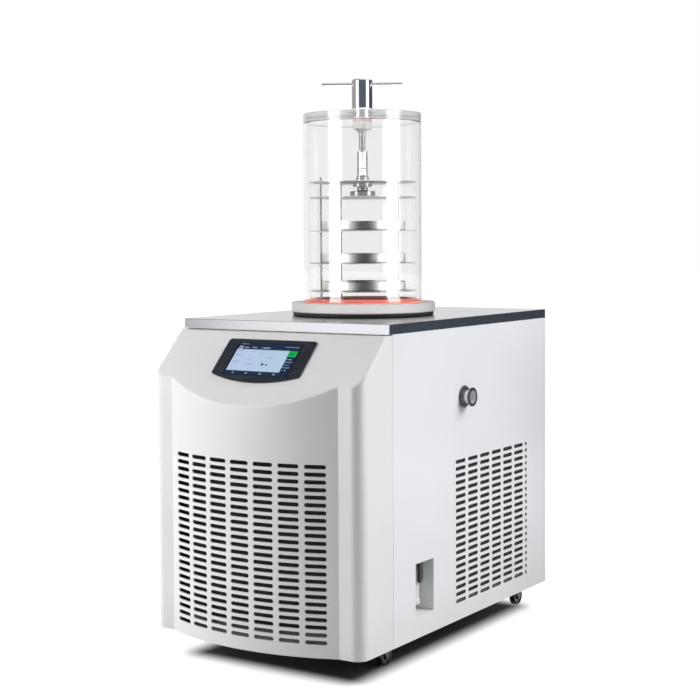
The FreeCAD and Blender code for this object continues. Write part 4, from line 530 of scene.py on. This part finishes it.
def make_screen():
    """The lit picture: plain areas, buttons, icons and short bars."""
    plane, wide, tall = glass_plane()
    left_edge, right_edge, top_edge, low_edge = PICTURE
    areas = {
        "screen_bars": (screen_part("screen_navy", (0.014, 0.030, 0.072), 0.12), [
            (0.00, 0.00, 1.00, 0.20), (0.00, 0.87, 1.00, 1.00),
            (0.87, 0.40, 1.00, 0.53), (0.87, 0.57, 1.00, 0.70), (0.87, 0.74, 1.00, 0.86)]),
        "screen_field": (screen_part("screen_field", (0.50, 0.68, 0.84), 0.14, (0.48, 0.58, 0.80)), [
            (0.00, 0.20, 0.87, 0.87)]),
        "screen_bands": (screen_part("screen_slate", (0.16, 0.24, 0.36), 0.12), [
            (0.87, 0.53, 1.00, 0.565), (0.87, 0.70, 1.00, 0.735)]),
        "screen_start": (screen_part("screen_green", (0.010, 0.44, 0.095), 0.15), [
            (0.86, 0.205, 1.00, 0.385)]),
    }
    marks = {
        "screen_light_marks": (screen_part("screen_white", (0.36, 0.42, 0.52), 0.2), [
            (0.015, 0.10, 0.075, 0.20), (0.23, 0.125, 0.31, 0.15), (0.10, 0.13, 0.18, 0.155),
            (0.41, 0.125, 0.53, 0.155), (0.885, 0.455, 0.965, 0.475), (0.935, 0.785, 0.955, 0.82)]),
        "screen_grey_marks": (screen_part("screen_grey", (0.20, 0.26, 0.36), 0.1), [
            (0.02, 0.025, 0.15, 0.045), (0.76, 0.075, 0.99, 0.10), (0.37, 0.13, 0.39, 0.165),
            (0.02, 0.235, 0.12, 0.25), (0.02, 0.39, 0.13, 0.405), (0.02, 0.58, 0.14, 0.595),
            (0.27, 0.27, 0.33, 0.28), (0.40, 0.30, 0.46, 0.31), (0.27, 0.50, 0.32, 0.51),
            (0.54, 0.42, 0.64, 0.432), (0.24, 0.655, 0.38, 0.667), (0.50, 0.55, 0.53, 0.562),
            (0.885, 0.625, 0.965, 0.645), (0.89, 0.79, 0.905, 0.82),
            (0.115, 0.905, 0.15, 0.955), (0.33, 0.905, 0.37, 0.965), (0.555, 0.905, 0.60, 0.965),
            (0.78, 0.905, 0.825, 0.965)]),
        "screen_dark_marks": (screen_part("screen_ink", (0.010, 0.014, 0.035), 0.05), [
            (0.52, 0.62, 0.555, 0.685), (0.03, 0.12, 0.05, 0.165), (0.89, 0.285, 0.95, 0.31)]),
        "screen_green_mark": (screen_part("screen_lamp", (0.08, 0.36, 0.20), 0.1), [
            (0.585, 0.625, 0.62, 0.685)]),
    }
    for rank, batch in enumerate((areas, marks), start=1):
        for name, (finish, places) in batch.items():
            shape = bmesh.new()
            lifted = plane @ Matrix.Translation((0, 0, rank * LIFT))
            for place in places:
                left, right = (wide * (left_edge + v * (right_edge - left_edge)) for v in place[::2])
                top, bottom = (tall * (top_edge + v * (low_edge - top_edge)) for v in place[1::2])
                slab(shape, lifted, (left, top), (right, bottom), MARK_CORNER if batch is marks else 0.0)
            piece(name, "cabinet", shape, finish)


make_screen()


# ---------------------------------------------------------------- filter mats

MAT_THICK = 4 * MM
MAT_FRAME = 9 * MM       # width of the raised frame
MAT_SINK = 1.2 * MM      # depth of the open face inside it
MAT_BORDER = 16 * MM     # past the side grilles' slots
MAT_RISE = 50 * MM       # past the condenser's top
MAT_CLEAR = 4 * MM       # over the base tray
CORE_GAP = 1 * MM        # in front of the condenser
COVER_WALL = 8 * MM      # inside the front cover's cheeks
PANEL_THICK = 2.2 * MM   # from a side panel's outer face to its mat
GRILLE_BORDER = 40 * MM  # every slot of a side grille lies inside this border
GRILLE_TOP = 0.5         # and under this height
# painted shade: near-black foam mats stand for the shade seen through the grilles' slots
SLOT_SHADE_FOAM = foamed("filter_foam_painted_shade", (0.028, 0.028, 0.029))


def cut_box(name, border, top):
    """Box of a sheet's openings: its corners that lie inside its border and under a height."""
    low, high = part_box(name)
    inner = [v.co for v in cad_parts[name].data.vertices
             if low.y + border < v.co.y < high.y - border and low.z + border < v.co.z < top]
    return [Vector(edge(getattr(v, axis) for v in inner) for axis in "xyz") for edge in (min, max)]


def mat(shape, low, high, outward):
    """A filter mat with a raised frame round its open face."""
    middle, size = (low + high) / 2, high - low
    made = bmesh.ops.create_cube(shape, size=1, matrix=Matrix.Translation(middle) @
                                 Matrix.Diagonal((*size, 1)))["verts"]
    face = max({f for v in made for f in v.link_faces}, key=lambda f: f.normal.dot(outward))
    bmesh.ops.inset_individual(shape, faces=[face], thickness=MAT_FRAME)
    bmesh.ops.inset_individual(shape, faces=[face], thickness=MAT_SINK)
    bmesh.ops.translate(shape, verts=list(face.verts), vec=outward * -MAT_SINK)


def make_filters():
    """Black filter mats behind the front grille and behind both side grilles; their near-black foam is
    painted shade that darkens the slots.
    """
    shape = bmesh.new()
    tray, core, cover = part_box("base_tray"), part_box("condenser"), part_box("front_cover")
    front = core[0].y - CORE_GAP
    side = cover[1].x - COVER_WALL
    low = Vector((-side, front - MAT_THICK, tray[0].z + MAT_CLEAR))
    high = Vector((side, front, core[1].z + MAT_RISE))
    mat(shape, low, high, -Y)
    grille = cut_box("side_panel_left", GRILLE_BORDER, GRILLE_TOP)
    border = Vector((0, MAT_BORDER, MAT_BORDER))
    for name, outward in (("side_panel_left", -X), ("side_panel_right", X)):
        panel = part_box(name)
        outer = (panel[0] if outward.x < 0 else panel[1]).x - outward.x * PANEL_THICK
        inner = outer - outward.x * MAT_THICK
        low, high = grille[0] - border, grille[1] + border
        low.x, high.x = sorted((outer, inner))
        mat(shape, low, high, outward)
    piece("filter_mats", "cabinet", shape, SLOT_SHADE_FOAM)


make_filters()


# ---------------------------------------------------------------- rear screws

HEAD = 3.4 * MM          # radius of a screw's head
HEAD_HIGH = 1.9 * MM
HEAD_ROUND = 0.5 * MM
SCREW_INSET = 12 * MM    # from the rear panel's edges


def screw(shape, centre, outward):
    """Button-head screw with a sunk socket."""
    turn = Z.rotation_difference(outward).to_matrix().to_4x4()
    matrix = Matrix.Translation(centre + outward * HEAD_HIGH / 2) @ turn
    made = bmesh.ops.create_cone(shape, cap_ends=True, segments=24, radius1=HEAD, radius2=HEAD * 0.82,
                                 depth=HEAD_HIGH, matrix=matrix)["verts"]
    top = max({f for v in made for f in v.link_faces}, key=lambda f: f.calc_center_median().dot(outward))
    bmesh.ops.bevel(shape, geom=list(top.edges), offset=HEAD_ROUND, offset_type="OFFSET",
                    affect="EDGES", segments=3, profile=0.5, material=-1)
    faces = {f for v in shape.verts for f in v.link_faces if f.is_valid}
    reach = max(f.calc_center_median().dot(outward) for f in faces if len(f.verts) > 12)
    top = next(f for f in faces if len(f.verts) > 12 and
               abs(f.calc_center_median().dot(outward) - reach) < 1e-6 and
               (f.calc_center_median() - centre).length < 2 * HEAD)
    bmesh.ops.inset_individual(shape, faces=[top], thickness=HEAD * 0.38)
    bmesh.ops.translate(shape, verts=list(top.verts), vec=outward * -HEAD_HIGH * 0.6)


def make_rear_screws():
    """Screws along the rear panel's edges."""
    low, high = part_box("rear_panel")
    shape = bmesh.new()
    for side in (low.x + SCREW_INSET, high.x - SCREW_INSET):
        for part in (0.04, 0.35, 0.66, 0.96):
            screw(shape, Vector((side, high.y, low.z + (high.z - low.z) * part)), Y)
    for part in (0.25, 0.5, 0.75):
        across = low.x + (high.x - low.x) * part
        screw(shape, Vector((across, high.y, high.z - SCREW_INSET)), Y)
        screw(shape, Vector((across, high.y, low.z + SCREW_INSET)), Y)
    piece("rear_screws", "cabinet", shape, BY_SLOT["plated_steel"])


make_rear_screws()


# ---------------------------------------------------------------- studio

scene = bpy.context.scene
scene.view_settings.view_transform = "Standard"

WHITE = (1, 1, 1)
SLATE = (0.85, 1.0, 1.25)
SKY_LEVEL = 0.30                # light from all round
FLOOR_PAINT = (0.36, 0.36, 0.36)
FLOOR_PAINTED_SHADOW = (0.06, 0.06, 0.066)  # painted shadow under the cabinet
FLOOR_LIFT = 0.88               # whitens the floor to the eye, away from the object
SHADOW_INSET = 0.092            # the floor is painted dark as shadow this far inside the object's box
SHADOW_REACH = 0.075            # and white again this much further out
SHADOW_SHIFT = (0.004, 0.019)
STRIPS = (0.2, 2.6)             # low and high end of the upright bright cards and lamps
FLAGS = (0.0, 3.0)              # and of the dark ones


def around(azimuth, distance, height):
    """A place round the object; azimuth 0 is in front and turns towards its right side."""
    angle = math.radians(azimuth)
    return Vector((math.sin(angle) * distance, -math.cos(angle) * distance, height))


def glow(name, strength, tint):
    """Plain light-emitting surface for a studio card."""
    light = bpy.data.materials.new(name)
    light.use_nodes = True
    tree = light.node_tree
    tree.nodes.clear()
    lamp = tree.nodes.new("ShaderNodeEmission")
    lamp.inputs["Strength"].default_value = strength
    lamp.inputs["Color"].default_value = (*tint, 1)
    out = tree.nodes.new("ShaderNodeOutputMaterial")
    tree.links.new(lamp.outputs[0], out.inputs["Surface"])
    return light


def stage_plane(name, matrix, finish):
    """A flat square of the studio, one metre wide before its matrix."""
    shape = bmesh.new()
    bmesh.ops.create_grid(shape, x_segments=1, y_segments=1, size=0.5, matrix=matrix)
    mesh = bpy.data.meshes.new(name)
    shape.to_mesh(mesh)
    shape.free()
    mesh.materials.append(finish)
    plane = bpy.data.objects.new(name, mesh)
    scene.collection.objects.link(plane)
    return plane


def limit_sight(card, shows):
    """Hide a card from all kinds of rays but these."""
    for kind in ("camera", "diffuse", "glossy", "transmission", "volume_scatter", "shadow"):
        setattr(card, "visible_" + kind, kind in shows)


def studio_card(name, azimuth, width, heights, strength, distance=3.0, shows=("glossy",), tint=WHITE):
    """An upright card that shows to a few kinds of rays only."""
    low, high = heights
    middle = around(azimuth, distance, (low + high) / 2)
    away = Vector((middle.x, middle.y, 0)).normalized()
    turn = Matrix((Z.cross(away), Z, -away)).transposed().to_4x4()
    size = Matrix.Diagonal((width, high - low, 1, 1))
    card = stage_plane(name, Matrix.Translation(middle) @ turn @ size, glow(name, strength, tint))
    limit_sight(card, shows)


def link_light(lamp, state, *parts):
    """Keep a lamp's light to a few parts if the state is INCLUDE, or off them if it is EXCLUDE."""
    lit = bpy.data.collections.new(lamp.name)
    for part in parts:
        lit.objects.link(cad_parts[part])
    lamp.light_linking.receiver_collection = lit
    for member in lit.collection_objects:
        member.light_linking.link_state = state


def band_lamp(name, azimuth, width, power, distance=2.9):
    """An upright strip lamp whose reflection shows in the clear tube and its lid only."""
    low, high = STRIPS
    middle = (low + high) / 2
    lamp = area_lamp(name, around(azimuth, distance, middle), (0, 0, middle), (width, high - low), power)
    lamp.visible_diffuse = False
    lamp.visible_transmission = False
    link_light(lamp, "INCLUDE", "chamber_tube", "chamber_lid")


def ceiling_card(name, place, width, strength, shows=("glossy",)):
    """A board above the object that shows to a few kinds of rays only."""
    place = Vector(place)
    turn = Z.rotation_difference(-place.normalized()).to_matrix().to_4x4()
    card = stage_plane(name, Matrix.Translation(place) @ turn @ Matrix.Diagonal((width, width, 1, 1)),
                       glow(name, strength, WHITE))
    limit_sight(card, shows)


def plain_rays(tree):
    """1 for rays from the camera, from gloss and through glass; 0 for the light on surfaces."""
    ray = tree.nodes.new("ShaderNodeLightPath")
    total = ray.outputs["Is Camera Ray"]
    for other in ("Is Glossy Ray", "Is Transmission Ray"):
        either = tree.nodes.new("ShaderNodeMath")
        either.operation = "MAXIMUM"
        tree.links.new(total, either.inputs[0])
        tree.links.new(ray.outputs[other], either.inputs[1])
        total = either.outputs[0]
    return total


def floor():
    """Pale floor: white away from the object, with a painted shadow under it: darker paint and no
    whitening there, over the object's own shadow.
    """
    paint = Finish("floor_white", FLOOR_PAINT, 0.8, Emission_Color=WHITE)
    low, high = cad_box
    centre, half = (low + high) / 2, (high - low) / 2
    place = paint.coordinates((centre.x + SHADOW_SHIFT[0], centre.y + SHADOW_SHIFT[1], 0))
    beyond = []
    for name, reach in (("X", half.x), ("Y", half.y)):
        along = paint.add("SeparateXYZ", {0: place}, output=name)
        side = paint.add("Math", {0: along}, operation="ABSOLUTE") - (reach - SHADOW_INSET)
        beyond.append(paint.add("Math", {0: side, 1: 0.0}, operation="MAXIMUM"))
    away = (beyond[0] * beyond[0] + beyond[1] * beyond[1]) ** 0.5
    near = paint.step(away, 0, SHADOW_REACH)
    seen = Value(paint, plain_rays(paint.tree))
    # painted shadow: towards and under the object the floor's paint darkens and its whitening fades
    paint.set(Base_Color=paint.mix(near, FLOOR_PAINTED_SHADOW, FLOOR_PAINT),
              Emission_Strength=seen * near * FLOOR_LIFT)
    stage_plane("floor", Matrix.Diagonal((60, 60, 1, 1)), paint.material)


def sky():
    """White to the eye, to gloss and through glass; a plain level of light otherwise."""
    world = bpy.data.worlds.new("studio")
    scene.world = world
    world.use_nodes = True
    tree = world.node_tree
    tree.nodes.clear()
    out = tree.nodes.new("ShaderNodeOutputWorld")
    shown = tree.nodes.new("ShaderNodeBackground")
    shown.inputs["Color"].default_value = (1, 1, 1, 1)
    level = tree.nodes.new("ShaderNodeMapRange")
    level.inputs["To Min"].default_value = SKY_LEVEL
    level.inputs["To Max"].default_value = 1.0
    tree.links.new(plain_rays(tree), level.inputs["Value"])
    tree.links.new(level.outputs[0], shown.inputs["Strength"])
    tree.links.new(shown.outputs[0], out.inputs["Surface"])


def area_lamp(name, place, aim, size, power):
    """A rectangular area lamp turned to a point."""
    lamp = bpy.data.lights.new(name, "AREA")
    lamp.shape = "RECTANGLE"
    lamp.size, lamp.size_y = size
    lamp.energy = power
    holder = bpy.data.objects.new(name, lamp)
    holder.location = place
    holder.rotation_mode = "QUATERNION"
    holder.rotation_quaternion = (Vector(aim) - Vector(place)).to_track_quat("-Z", "Y")
    holder.visible_camera = False
    scene.collection.objects.link(holder)
    return holder


def softbox(name, place, aim, size, power):
    """A soft lamp that shows neither in gloss nor through clear parts."""
    lamp = area_lamp(name, place, aim, (size, size), power)
    lamp.visible_glossy = False
    lamp.visible_transmission = False
    return lamp


def camera():
    """Long lens a little above the worktop, off the front right corner."""
    lens = bpy.data.cameras.new("camera")
    lens.sensor_width = 36
    lens.lens = 76.39
    lens.shift_x = 0.0546
    lens.shift_y = -0.0713
    lens.clip_end = 100
    holder = bpy.data.objects.new("camera", lens)
    yaw, pitch, roll = (math.radians(angle) for angle in (34.06, -2.37, -0.40))
    holder.matrix_world = (
        Matrix.Translation((1.7448, -2.8253, 0.8633)) @ Matrix.Rotation(yaw, 4, "Z")
        @ Matrix.Rotation(math.pi / 2 + pitch, 4, "X") @ Matrix.Rotation(roll, 4, "Z"))
    scene.collection.objects.link(holder)
    scene.camera = holder


floor()
sky()
camera()
softbox("left", around(-50, 3.2, 1.25), (0, -0.2, 0.45), 2.2, 98)
key_right = softbox("right", around(118, 2.6, 2.3), (0.25, -0.1, 0.6), 2.2, 131)
link_light(key_right, "EXCLUDE", "base_disc")
disc_fill = softbox("disc_fill", around(58, 2.6, 1.1), (0, -0.04, 0.72), 1.2, 62)
link_light(disc_fill, "INCLUDE", "base_disc", "gasket")
studio_card("rear_shade", 131, 0.7, (0.1, 1.5), 0.0, distance=1.4, shows=("shadow",))
studio_card("strip_left", -21, 1.66, STRIPS, 2.1)
studio_card("strip_right", 94, 1.65, STRIPS, 2.1)
studio_card("rack_left", -25, 1.20, STRIPS, 7.0, distance=3.1, shows=("transmission",))
studio_card("rack_right", 92, 1.5, STRIPS, 7.0, distance=3.1, shows=("transmission",))
studio_card("flag_edge", 152, 4.6, FLAGS, 0.10, tint=SLATE)
studio_card("flag_front", 36, 6.4, FLAGS, 0.15, distance=3.6, tint=SLATE)
studio_card("flag_left", -72, 4.0, FLAGS, 0.45)
band_lamp("band_left", -22, 1.20, 85)
band_lamp("band_right", 92.5, 1.45, 105)
ceiling_card("flag_above", (-2.2, -0.2, 3.4), 3.2, 0.04)
ceiling_card("rack_above", (0, -0.2, 3.4), 3.2, 14.0, shows=("transmission",))
